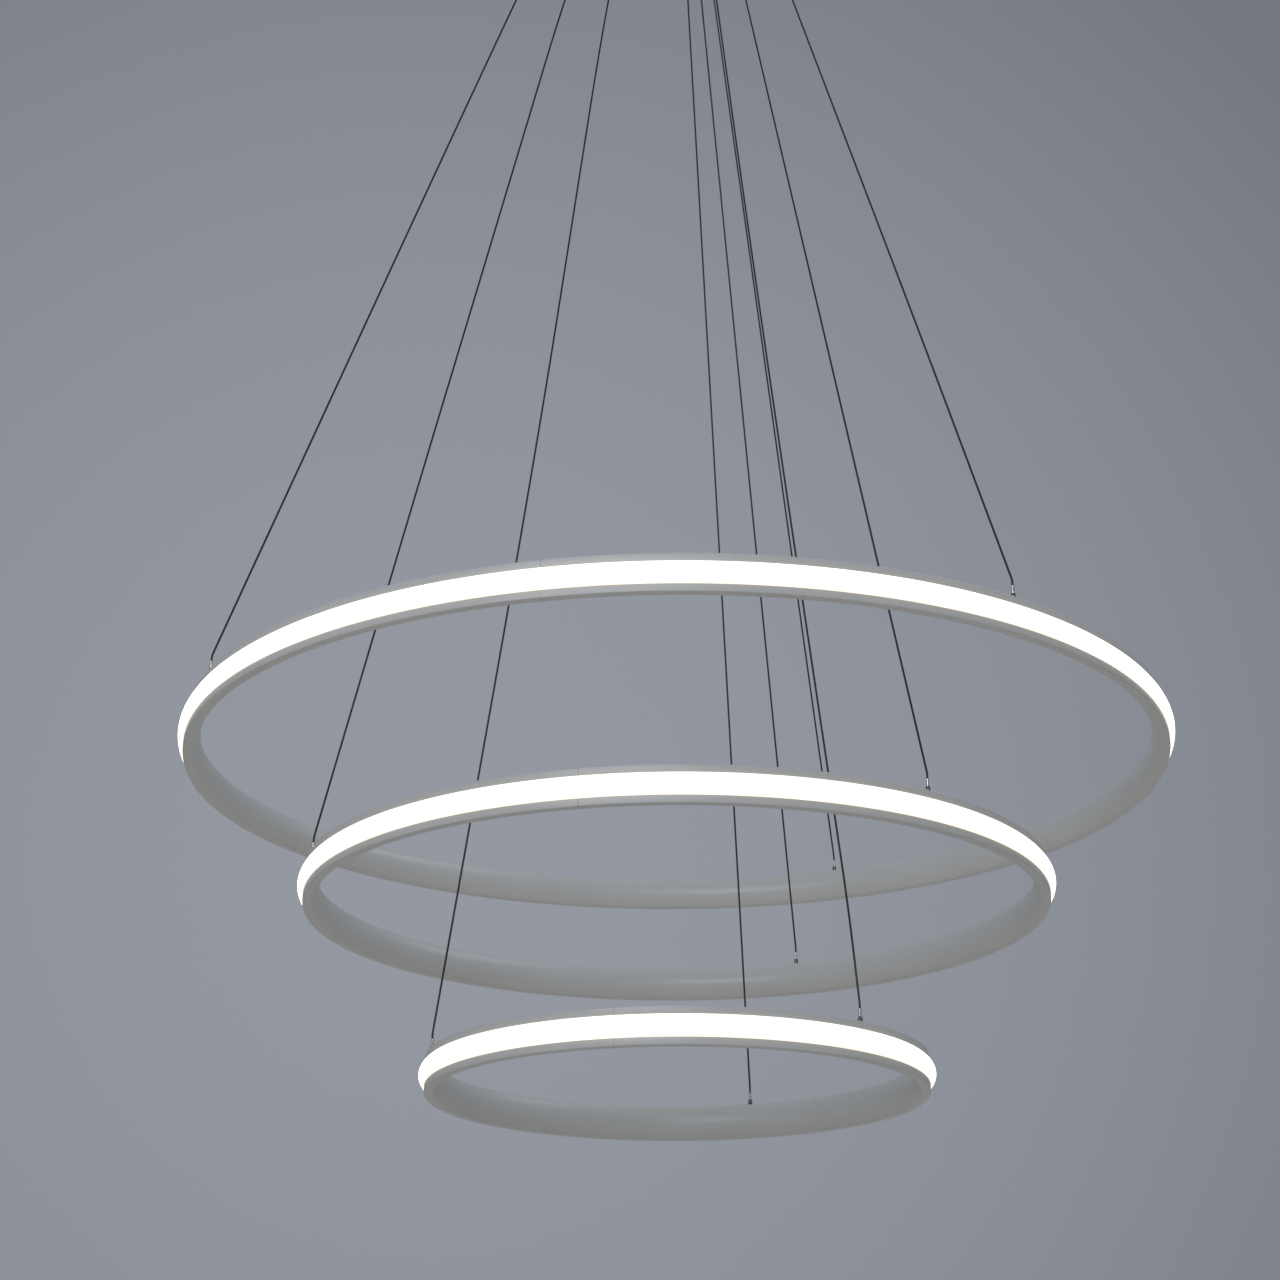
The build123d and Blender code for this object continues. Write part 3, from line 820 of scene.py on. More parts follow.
def bored(piece: Piece, drills: Skin) -> Piece:
    """Takes drilled holes out of a piece.

    Args:
        piece: the piece, whose mesh is changed.
        drills: closed solids where the holes are.

    Returns:
        The same piece.
    """
    tool = drills.finish(f"{piece.name}_drills", piece.data.materials[0])
    cut = piece.modifiers.new("bores", "BOOLEAN")
    cut.operation = "DIFFERENCE"
    cut.solver = "EXACT"
    cut.object = tool
    uncut = piece.data
    mesh = bpy.data.meshes.new_from_object(piece.evaluated_get(bpy.context.evaluated_depsgraph_get()))
    piece.modifiers.clear()
    piece.data = mesh
    mesh.set_sharp_from_angle(angle=math.radians(CREASE))
    bpy.data.objects.remove(tool)
    bpy.data.meshes.remove(uncut)
    return piece


def stand_in(piece: Piece, node: str, body: str) -> None:
    """Lets a finished piece take the place of one of the frame's nodes.

    Args:
        piece: the piece.
        node: the node that it replaces.
        body: the body that it rides on.
    """
    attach(piece, body)
    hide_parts(node)
    log.info("%s: %d points", piece.name, len(piece.data.vertices))


def rounded(corners: list[tuple[float, float, float]], steps: int = 5) -> np.ndarray:
    """A closed outline with rounded corners.

    Each corner becomes an arc that touches both of its sides: it starts and ends at rounding over
    the tangent of half the corner's angle from the corner.  A corner without rounding, or on a
    straight line, stays one point.

    Args:
        corners: radius, height and rounding of each corner.
        steps: points on each arc.

    Returns:
        The outline's points, as an array of radius and height.
    """
    places = np.array([corner[:2] for corner in corners], float)
    rounding = np.array([corner[2] for corner in corners], float)
    back = np.roll(places, 1, axis=0) - places
    forth = np.roll(places, -1, axis=0) - places
    back /= np.linalg.norm(back, axis=1, keepdims=True)
    forth /= np.linalg.norm(forth, axis=1, keepdims=True)
    side = back[:, 0] * forth[:, 1] - back[:, 1] * forth[:, 0]
    sharp = (rounding <= 0.0) | (np.abs(side) < STRAIGHT)
    half = np.arccos(np.clip((back * forth).sum(axis=1), -1.0, 1.0)) / 2
    start = places + back * (rounding / np.tan(half))[:, None]
    middle = back + forth
    middle /= np.maximum(np.linalg.norm(middle, axis=1, keepdims=True), STRAIGHT)
    centre = places + middle * (rounding / np.sin(half))[:, None]
    arm = start - centre
    turn = np.linspace(0.0, 1.0, steps)[None, :] * ((2 * half - math.pi) * np.sign(side))[:, None]
    x = arm[:, :1] * np.cos(turn) - arm[:, 1:] * np.sin(turn)
    y = arm[:, :1] * np.sin(turn) + arm[:, 1:] * np.cos(turn)
    arcs = np.stack([x, y], axis=-1) + centre[:, None, :]
    arcs = np.where(sharp[:, None, None], places[:, None, :], arcs)
    return arcs[~sharp[:, None] | (np.arange(steps) == 0)]


def cylinder(radius: float, low: float, high: float) -> np.ndarray:
    """The closed outline of a cylinder between two heights."""
    return np.array([(0.0, low), (radius, low), (radius, high), (0.0, high)])


@dataclass(frozen=True)
class Knurl:
    """Upright ridges round a turned piece, between two heights."""

    ridges: int
    depth: float
    span: tuple[float, float]
    rim_share: float = 0.8

    def radii(self, turn: np.ndarray, outline: np.ndarray) -> np.ndarray:
        """Radius less depth (1 - cos of ridges t) / 2, on the outermost points of the span.

        Args:
            turn: angles round the axis, one to a row.
            outline: the piece's outline.

        Returns:
            A radius for each angle and point of the outline.
        """
        held = (outline[:, 1] > self.span[0]) & (outline[:, 1] < self.span[1])
        outer = outline[:, 0] > self.rim_share * outline[:, 0].max()
        groove = self.depth * (1 - np.cos(self.ridges * turn)) / 2
        return outline[None, :, 0] - groove * (held & outer)[None, :]


@dataclass(frozen=True)
class HexSocket:
    """A six-sided recess down the axis of a turned piece, above a height."""

    corner_radius: float
    above: float

    def radii(self, turn: np.ndarray, outline: np.ndarray) -> np.ndarray:
        """Radius times cos 30 over cos (t mod 60 - 30), on the points inside the recess.

        Args:
            turn: angles round the axis, one to a row.
            outline: the piece's outline.

        Returns:
            A radius for each angle and point of the outline.
        """
        sixth = math.tau / 6
        flat = math.cos(sixth / 2) / np.cos(np.mod(turn, sixth) - sixth / 2)
        held = (outline[:, 0] <= self.corner_radius) & (outline[:, 1] > self.above)
        return np.where(held[None, :], outline[None, :, 0] * flat, outline[None, :, 0])


# ---------------- the cords


def around(radius: float, azimuth: float, height: float) -> Vector:
    """Place at a radius and azimuth about the lamp's axis."""
    turn = math.radians(azimuth)
    return Vector((radius * math.cos(turn), radius * math.sin(turn), height))


@dataclass(frozen=True)
class SuspensionCord:
    """One of the nine cords, from its gripper down to its ferrule.

    A kink is a share of the way down, and how far it stands outwards of the line in millimetres.
    """

    tier: Tier
    side: Side
    azimuth: float
    anchor_circle: float
    kinks: tuple[tuple[float, float], ...] = ()
    diameter: float = 1.6 * MM
    exit_run: float = 14.0 * MM
    ferrule_run: float = 4.0 * MM
    segments: int = 12
    spline_order: int = 3
    spline_steps: int = 16

    def node(self, part: str) -> str:
        """The frame's name for the cord or one of the pieces that go with it."""
        return f"{self.tier.value}_{self.side.value}_{part}"

    @property
    def exit(self) -> Vector:
        """Where the cord leaves its gripper's plunger."""
        low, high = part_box(self.node("release_plunger"))
        return Vector(((low.x + high.x) / 2, (low.y + high.y) / 2, low.z))

    @property
    def end(self) -> Vector:
        """Where the cord goes into its ferrule."""
        return around(self.anchor_circle, self.azimuth, self.tier.box("ferrules")[1].z)

    def corners(self) -> list[Vector]:
        """The route's points: straight out of the plunger, past the kinks, straight into the ferrule.

        Returns:
            The points, from the plunger down.
        """
        start, end = self.exit, self.end
        gripper_circle = start.xy.length
        upper, lower = start.z - self.exit_run, end.z + self.ferrule_run
        points = [start, around(gripper_circle, self.azimuth, upper)]
        for share, out_of_line in self.kinks:
            radius = gripper_circle + share * (self.anchor_circle - gripper_circle) + out_of_line * MM
            points.append(around(radius, self.azimuth, upper + share * (lower - upper)))
        return points + [around(self.anchor_circle, self.azimuth, lower), end]

    def steadied(self) -> list[Vector]:
        """The route with a point beside each corner whose other run is under half as long.

        The point lies on the longer run, as far from the corner as the shorter run's end is, so
        that the pulled cord stays straight between its ends.

        Returns:
            The points, from the plunger down.
        """
        corners = self.corners()
        points = corners[:1]
        for before, start, end, after in zip(corners, corners[1:], corners[2:], corners[3:]):
            run = end - start
            points.append(start)
            if (start - before).length < run.length / 2:
                points.append(start + run.normalized() * (start - before).length)
            if (after - end).length < run.length / 2:
                points.append(end - run.normalized() * (after - end).length)
        return points + corners[-2:]

    def line(self) -> np.ndarray:
        """The smooth line through the route, as points read from its NURBS spline.

        Returns:
            The line's points, from the plunger down.
        """
        curve = bpy.data.curves.new(f"{self.node('cord')}_line", "CURVE")
        curve.dimensions = "3D"
        curve.resolution_u = self.spline_steps
        spline = curve.splines.new("NURBS")
        route = self.steadied()
        spline.points.add(len(route) - 1)
        for point, corner in zip(spline.points, route):
            point.co = (*corner, 1.0)
        spline.order_u = self.spline_order
        spline.use_endpoint_u = True
        holder = bpy.data.objects.new(curve.name, curve)
        bpy.context.scene.collection.objects.link(holder)
        read = bpy.data.meshes.new_from_object(holder)
        line = np.empty(len(read.vertices) * 3)
        read.vertices.foreach_get("co", line)
        bpy.data.objects.remove(holder)
        bpy.data.curves.remove(curve)
        bpy.data.meshes.remove(read)
        return line.reshape(-1, 3)

    def build(self, material: Material) -> None:
        """Each point of the line carries a circle square to the line's direction there.

        Args:
            material: the cord's finish.
        """
        line = self.line()
        ahead = np.gradient(line, axis=0)
        ahead[0], ahead[-1] = (0.0, 0.0, -1.0), (0.0, 0.0, -1.0)
        ahead /= np.linalg.norm(ahead, axis=1, keepdims=True)
        turn = math.radians(self.azimuth)
        across = np.broadcast_to([-math.sin(turn), math.cos(turn), 0.0], ahead.shape)
        other = np.cross(ahead, across)
        angle = (np.arange(self.segments) * math.tau / self.segments)[None, :, None]
        grid = line[:, None] + self.diameter / 2 * (
            np.cos(angle) * across[:, None] + np.sin(angle) * other[:, None])
        along = np.concatenate([[0.0], np.cumsum(np.linalg.norm(np.diff(line, axis=0), axis=1))])
        skin = Skin()
        skin.add(grid, along, np.linspace(0.0, 1.0, self.segments + 1))
        tube = skin.finish(f"{self.node('cord')}_tube", material)
        stand_in(tube, self.node("cord"), "canopy")
        joint = next(joint for joint in frame["joints"] if joint["name"] == self.tier.node("lift"))
        lift, drop = joint["range_m"][1], self.exit.z - self.end.z
        self.tier.node("lift")
        tuple(self.exit)
        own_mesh(tube)
        tuple(self.exit)
        log.info("%s: %.1f mm long", tube.name, along[-1] / MM)


@dataclass
class Suspension:
    """The nine cords with their places round each ring."""

    anchor_inset: float = 4.2 * MM
    azimuths: dict[Tier, dict[Side, float]] = field(default_factory=lambda: {
        Tier.LARGE: {Side.LEFT: -153.0, Side.RIGHT: -53.0, Side.FAR: 67.0},
        Tier.MIDDLE: {Side.LEFT: -164.0, Side.RIGHT: -52.0, Side.FAR: 68.0},
        Tier.SMALL: {Side.LEFT: -168.0, Side.RIGHT: -46.0, Side.FAR: 71.0},
    })
    kinks: dict[tuple[Tier, Side], tuple[tuple[float, float], ...]] = field(default_factory=lambda: {
        (Tier.MIDDLE, Side.LEFT): ((0.13, 3.6), (0.71, 2.0)),
        (Tier.SMALL, Side.LEFT): ((0.13, 2.0), (0.54, -3.2)),
        (Tier.SMALL, Side.RIGHT): ((0.45, -1.8), (0.93, 2.2)),
        (Tier.LARGE, Side.LEFT): ((0.34, 1.2),),
        (Tier.LARGE, Side.RIGHT): ((0.72, 1.2),),
    })

    def anchor_circle(self, tier: Tier) -> float:
        """Radius of the circle that a ring's anchors stand on."""
        return tier.box("housing")[1].x - self.anchor_inset

    def cords(self) -> list[SuspensionCord]:
        """The nine cords.

        Returns:
            The cords, ring by ring.
        """
        return [SuspensionCord(tier, side, azimuth, self.anchor_circle(tier),
                               self.kinks.get((tier, side), ()))
                for tier, sides in self.azimuths.items() for side, azimuth in sides.items()]

    def build(self, material: Material) -> None:
        """Makes every cord."""
        for cord in self.cords():
            cord.build(material)


# ---------------- stage


@dataclass(frozen=True)
class Studio:
    """A plain pale floor, soft lamps and a blue-grey surround that is darker towards its edges, as painted shade.

    The surround's middle is a direction, and its reach is how far the cosine of the angle from
    there falls until the edge's colour is reached.
    """

    floor_height: float = -4.5
    floor_width: float = 60.0
    floor_colour: Colour = (0.74, 0.70, 0.63, 1.0)
    floor_roughness: float = 0.7
    floor_skin: float = 40.0
    floor_patches: float = 1.5
    floor_spread: float = 0.02
    surround: Colour = (0.296, 0.314, 0.356, 1.0)
    # painted shade: the surround's darker colour away from its middle
    surround_shaded_edge: Colour = (0.178, 0.188, 0.220, 1.0)
    surround_middle: Place = (-0.1018, 0.9524, 0.2873)
    surround_reach: float = 0.109
    fill_colour: Colour = (0.86, 0.91, 1.0, 1.0)
    fill_above: float = 0.68
    fill_below: float = 0.10
    fill_span: tuple[float, float] = (-0.3, 0.2)
    lamps: tuple[SoftLamp, ...] = (
        SoftLamp("front_lamp", (-0.75, -2.7, -0.12), 1.9, 0.9, 27.0),
        SoftLamp("high_lamp", (1.6, 0.8, 1.4), 1.5, 1.5, 10.0),
    )

    def build(self) -> None:
        """Makes the floor, the surround and the lamps."""
        half = self.floor_width / 2
        mesh = bpy.data.meshes.new("floor")
        mesh.from_pydata([(x, y, self.floor_height) for x, y in (
            (-half, -half), (half, -half), (half, half), (-half, half))], [], [(0, 1, 2, 3)])
        material, bench, shader = new_material("floor_paint", Roughness=self.floor_roughness)
        _, tone = FineSkin.place(bench, scale=self.floor_skin, tone_scale=self.floor_patches)
        bench.feed(shader, Base_Color=bench.blend(tone, *spread(self.floor_colour, self.floor_spread)))
        mesh.materials.append(material)
        floor = bpy.data.objects.new("floor", mesh)
        bpy.context.scene.collection.objects.link(floor)
        self.light_surround()
        for lamp in self.lamps:
            lamp.build()

    def light_surround(self) -> None:
        """Makes the world: a soft fill for the lamp, and a surround for eye and mirror.

        The fill grows with the height of its direction.  The surround darkens with the angle away from its middle:
        painted shade on the backdrop, also seen in reflections.
        """
        world = bpy.data.worlds.new("surround")
        world.use_nodes = True
        bpy.context.scene.world = world
        bench = Bench(world.node_tree)
        plain = world.node_tree.nodes["Background"]
        plain.inputs["Color"].default_value = self.fill_colour
        direction = bench.place("Generated")
        bench.feed(plain, Strength=bench.span(
            bench.parts(direction)[2], (self.fill_below, self.fill_above), *self.fill_span))
        middle = bench.node("ShaderNodeVectorMath", {
            0: direction, 1: self.surround_middle}, operation="DOT_PRODUCT").outputs["Value"]
        # painted shade: the surround blends to its darker edge colour away from its middle
        share = bench.span(middle, (0.0, 1.0), 1.0, 1.0 - self.surround_reach)
        seen = bench.node("ShaderNodeBackground", {
            "Color": bench.blend(share, self.surround, self.surround_shaded_edge), "Strength": 1.0})
        rays = bench.node("ShaderNodeLightPath").outputs
        looked_at = bench.maths("MAXIMUM", rays["Is Camera Ray"], rays["Is Glossy Ray"])
        mixed = bench.node("ShaderNodeMixShader", {
            0: looked_at, 1: plain.outputs[0], 2: seen.outputs[0]})
        bench.feed(world.node_tree.nodes["World Output"], Surface=mixed.outputs[0])


# ---------------- the rings


@dataclass(frozen=True)
class RingSection:
    """Sizes of the channel, its cover and its holes, the same in all three rings."""

    wall: float = 1.4 * MM
    flat: float = 6.5 * MM
    lip_rounding: float = 0.8 * MM
    crown_rounding: float = 1.5 * MM
    inner_rounding: float = 0.1 * MM
    window: float = 16.5 * MM
    edge_rounding: float = 0.15 * MM
    cover_wall: float = 1.5 * MM
    cover_leg: float = 3.6 * MM
    cover_clearance: float = 0.15 * MM
    leg_wall: float = 1.2 * MM
    hook: float = 1.0 * MM
    hook_rounding: float = 0.1 * MM
    crown_steps: int = 28
    seam_azimuth: float = -103.0
    seam_gap: float = 0.2 * MM
    screw_spacing: float = 26.0 * MM
    screw_inset: float = 9.9 * MM
    screw_hole: float = 1.25 * MM
    shank_hole: float = 1.05 * MM
    rows: int = 320


@dataclass
class LedRing:
    """One ring: a bent channel with its rounded inner face, and the opal cover in its window."""

    tier: Tier
    section: RingSection = field(default_factory=RingSection)

    @property
    def lip(self) -> float:
        """Radius of the channel's two lips."""
        return self.tier.box("housing")[1].x

    @property
    def half(self) -> float:
        """Half the channel's height."""
        low, high = self.tier.box("housing")
        return (high.z - low.z) / 2

    @property
    def middle(self) -> float:
        """Height of the ring's middle."""
        low, high = self.tier.box("housing")
        return (high.z + low.z) / 2

    @property
    def depth(self) -> float:
        """From the lips in to the channel's innermost points.

        Returns:
            The depth.
        """
        piece = frame["nodes"][self.tier.node("housing")]
        points = np.empty(len(piece.data.vertices) * 3)
        piece.data.vertices.foreach_get("co", points)
        points = points.reshape(-1, 3) @ np.array(piece.matrix_world)[:3, :3].T
        return self.lip - float(np.hypot(points[:, 0], points[:, 1]).min())

    def crown(self, inset: float) -> tuple[float, float, np.ndarray]:
        """The rounded inner face, moved into the wall by an inset.

        The face is an arc about a centre outwards of the lips: with depth d to the arc's crest,
        flat part f and half height h, its radius is (h^2 + (d - f)^2) / (2 (d - f)).

        Args:
            inset: how far into the wall.

        Returns:
            The radius where the flat top ends, the half height there, and the arc's points from
            the top to the bottom.
        """
        depth, half = self.depth, self.half
        rise = depth - self.section.flat
        radius = (half**2 + rise**2) / (2 * rise)
        centre = self.lip + radius - depth
        radius -= inset
        reach = math.asin((half - inset) / radius)
        turn = np.linspace(reach, -reach, self.section.crown_steps)
        return centre - radius * math.cos(reach), half - inset, np.stack(
            [centre - radius * np.cos(turn), radius * np.sin(turn)], axis=-1)

    def channel_outline(self) -> np.ndarray:
        """The channel's closed section: round the outside, then back round the inside.

        The points at each end of an arc give way to the rounded corner there.

        Returns:
            The closed outline, as radius and height.
        """
        section, lip = self.section, self.lip
        window, edge, fillet = section.window / 2, section.edge_rounding, section.inner_rounding
        flat_end, top, outer_arc = self.crown(0.0)
        inner_end, inner_top, inner_arc = self.crown(section.wall)
        behind = lip - section.wall
        between = slice(2, -2)
        corners = []
        for start, arc in (
                ([(lip, window, edge), (lip, top, section.lip_rounding),
                  (flat_end, top, section.crown_rounding)], outer_arc),
                ([(behind, -window, edge), (behind, -inner_top, fillet),
                  (inner_end, -inner_top, fillet)], inner_arc[::-1])):
            corners += start + [(x, y, 0.0) for x, y in arc[between]]
            corners += [(x, -y, rounding) for x, y, rounding in start[::-1]]
        return rounded(corners)

    def cover_outline(self) -> np.ndarray:
        """The cover's closed section: a bulged front, and two legs that hook behind the lips.

        Returns:
            The closed outline, as radius and height.
        """
        section, lip = self.section, self.lip
        bulge = self.tier.box("diffuser")[1].x - lip
        front = section.window / 2 - section.cover_clearance
        inner = front - section.leg_wall
        hook, edge = front + section.hook, section.hook_rounding
        catch = lip - section.wall - section.cover_clearance
        toe = lip - section.cover_leg
        above = [(catch, front, 0.0), (catch, hook, edge), (toe, hook, edge), (toe, inner, edge)]
        outline = [(x, y, 0.0) for x, y in bow(lip, front, bulge)] + above
        outline += [(x, y, 0.0) for x, y in bow(lip, inner, bulge - section.cover_wall)[::-1]]
        outline += [(x, -y, rounding) for x, y, rounding in above[::-1]]
        return rounded(outline)

    def sweep(self, outline: np.ndarray, start: float, turn: float) -> np.ndarray:
        """The section carried round the lamp's axis.

        A point at radius r and height h goes to (r cos t, r sin t, middle + h).

        Args:
            outline: the section's points.
            start: the first azimuth, degrees.
            turn: how far round, degrees; a full turn leaves out the last row.

        Returns:
            Points as rows by outline points by 3.
        """
        rows = self.section.rows
        azimuth = np.radians(start + np.linspace(0.0, turn, rows, endpoint=turn < 360.0))[:, None]
        radius, height = outline[None, :, 0], outline[None, :, 1]
        return np.stack([radius * np.cos(azimuth), radius * np.sin(azimuth),
                         np.broadcast_to(self.middle + height, (rows, len(outline)))], axis=-1)

    def drills(self, anchor_circle: float, anchor_azimuths: list[float]) -> Skin:
        """The drills for the set screws beside the seam and for the anchors' shanks.

        Args:
            anchor_circle: radius of the circle that the anchors stand on.
            anchor_azimuths: where they stand, degrees.

        Returns:
            One cylinder for each hole.
        """
        section, lip, half, middle = self.section, self.lip, self.half, self.middle
        turn = math.degrees(section.screw_spacing / 2 / lip)
        holes = [(around(lip - section.screw_inset, section.seam_azimuth + side * turn, middle - half),
                  section.screw_hole) for side in (-1, 1)]
        holes += [(around(anchor_circle, azimuth, middle + half - 2 * section.wall), section.shank_hole)
                  for azimuth in anchor_azimuths]
        drills = Skin()
        for place, radius in holes:
            drills.turn(cylinder(radius, 0.0, half), place)
        return drills

    def build(self, paint: Material, glow: Material, suspension: Suspension) -> None:
        """Makes the channel with its seam and holes, and the cover.

        Args:
            paint: the channel's finish.
            glow: the cover's finish.
            suspension: where the ring's anchors stand.
        """
        gap = math.degrees(self.section.seam_gap / self.lip)
        after_seam = self.section.seam_azimuth + gap / 2
        for part, slot, material, outline, start, turn in (
                ("housing", "silver_paint", paint, self.channel_outline(), after_seam, 360.0 - gap),
                ("diffuser", "opal_cover", glow, self.cover_outline(), 0.0, 360.0)):
            skin = Skin()
            skin.add(self.sweep(outline, start, turn),
                     np.linspace(0.0, math.tau * self.lip, self.section.rows + 1), path_shares(outline),
                     close_rows=turn == 360.0)
            made = skin.finish(f"{self.tier.node(part)}_swept", material)
            if part == "housing":
                bored(made, self.drills(suspension.anchor_circle(self.tier),
                                        list(suspension.azimuths[self.tier].values())))
            stand_in(made, self.tier.node(part), self.tier.body)


def bow(radius: float, half: float, rise: float, steps: int = 24) -> np.ndarray:
    """Points of the arc through (radius, -half), (radius + rise, 0) and (radius, half).

    Args:
        radius: where the arc starts and ends.
        half: half its height.
        rise: how far it stands out.
        steps: how many points.

    Returns:
        The points, from below upwards.
    """
    size = (half**2 + rise**2) / (2 * rise)
    reach = math.asin(half / size) if rise < half else math.pi - math.asin(half / size)
    turn = np.linspace(-reach, reach, steps)
    return np.stack([radius + rise - size + size * np.cos(turn), size * np.sin(turn)], axis=-1)


def path_shares(outline: np.ndarray) -> np.ndarray:
    """How far round the closed outline each point lies, from 0 to 1."""
    steps = np.linalg.norm(np.roll(outline, -1, axis=0) - outline, axis=1)
    return np.concatenate([[0.0], np.cumsum(steps)]) / steps.sum()


# ---------------- small turned pieces


@dataclass(frozen=True)
class CordEnds:
    """The anchors and crimped ferrules on the rings' top faces.

    The anchor's profile gives a share of its radius, a height and a rounding for each corner of
    its foot, groove, knurled waist and shoulder.  A crimp's shape gives a share of its depth, a
    share of the ferrule's height past its start, and a rounding; the mouth's shape gives shares of
    the ferrule's radius and height, and a rounding.
    """

    suspension: Suspension
    anchor_radius: float = 1.75 * MM
    anchor_height: float = 4.0 * MM
    shank_radius: float = 1.0 * MM
    shank_depth: float = 2.4 * MM
    shank_rounding: float = 0.1 * MM
    anchor_profile: tuple[Place, ...] = (
        (1.0, 0.0, 0.08 * MM), (1.0, 0.5 * MM, 0.08 * MM),
        (0.92, 0.62 * MM, 0.04 * MM), (0.92, 0.78 * MM, 0.04 * MM),
        (1.0, 0.9 * MM, 0.04 * MM), (1.0, 1.7 * MM, 0.0), (1.0, 2.7 * MM, 0.06 * MM),
        (0.94, 3.0 * MM, 0.06 * MM))
    crown_share: float = 0.86
    crown_rounding: float = 0.35 * MM
    knurl: Knurl = Knurl(ridges=20, depth=0.12 * MM, span=(0.9 * MM, 2.75 * MM))
    ferrule_radius: float = 1.2 * MM
    foot_rounding: float = 0.12 * MM
    mouth_shape: tuple[Place, ...] = ((1.0, 0.95, 0.1 * MM), (0.8, 1.0, 0.1 * MM))
    crimp_depth: float = 0.18 * MM
    crimp_starts: tuple[float, ...] = (0.20, 0.54)
    crimp_shape: tuple[Place, ...] = (
        (0.0, 0.0, 0.15 * MM), (1.0, 0.08, 0.25 * MM), (1.0, 0.18, 0.25 * MM), (0.0, 0.26, 0.15 * MM))

    def build(self, base: Material, sleeve: Material) -> None:
        """Makes the three anchors and three ferrules of each ring.

        Args:
            base: the anchors' finish.
            sleeve: the ferrules' finish.
        """
        for tier, sides in self.suspension.azimuths.items():
            top = tier.box("housing")[1].z
            height = tier.box("ferrules")[1].z - top - self.anchor_height
            anchors, ferrules = Skin(), Skin()
            for azimuth in sides.values():
                place = around(self.suspension.anchor_circle(tier), azimuth, top)
                anchors.turn(self.anchor_outline(), place, segments=60, relief=self.knurl)
                place.z += self.anchor_height
                ferrules.turn(self.ferrule_outline(height), place)
            for skin, part, material, slot in (
                    (anchors, "cord_anchors", base, "dark_nickel"),
                    (ferrules, "ferrules", sleeve, "bright_nickel")):
                made = skin.finish(f"{tier.node(part)}_turned", material)
                stand_in(made, tier.node(part), tier.body)

    def anchor_outline(self) -> np.ndarray:
        """Foot, groove, knurled waist and rounded shoulder, with the shank through the ring's wall.

        Returns:
            The closed outline, as radius and height.
        """
        shank, radius, height = self.shank_radius, self.anchor_radius, self.anchor_height
        return rounded([
            (0.0, -self.shank_depth, 0.0), (shank, -self.shank_depth, self.shank_rounding),
            (shank, 0.0, 0.0),
            *((share * radius, up, rounding) for share, up, rounding in self.anchor_profile),
            (self.crown_share * radius, height, self.crown_rounding), (0.0, height, 0.0)])

    def ferrule_outline(self, height: float) -> np.ndarray:
        """A sleeve with two pressed waists and a bevelled mouth.

        Args:
            height: the ferrule's height.

        Returns:
            The closed outline, as radius and height.
        """
        radius = self.ferrule_radius
        corners = [(0.0, 0.0, 0.0), (radius, 0.0, self.foot_rounding)]
        for start in self.crimp_starts:
            corners += [(radius - share * self.crimp_depth, (start + past) * height, rounding)
                        for share, past, rounding in self.crimp_shape]
        corners += [(share * radius, up * height, rounding) for share, up, rounding in self.mouth_shape]
        return rounded(corners + [(0.0, height, 0.0)])


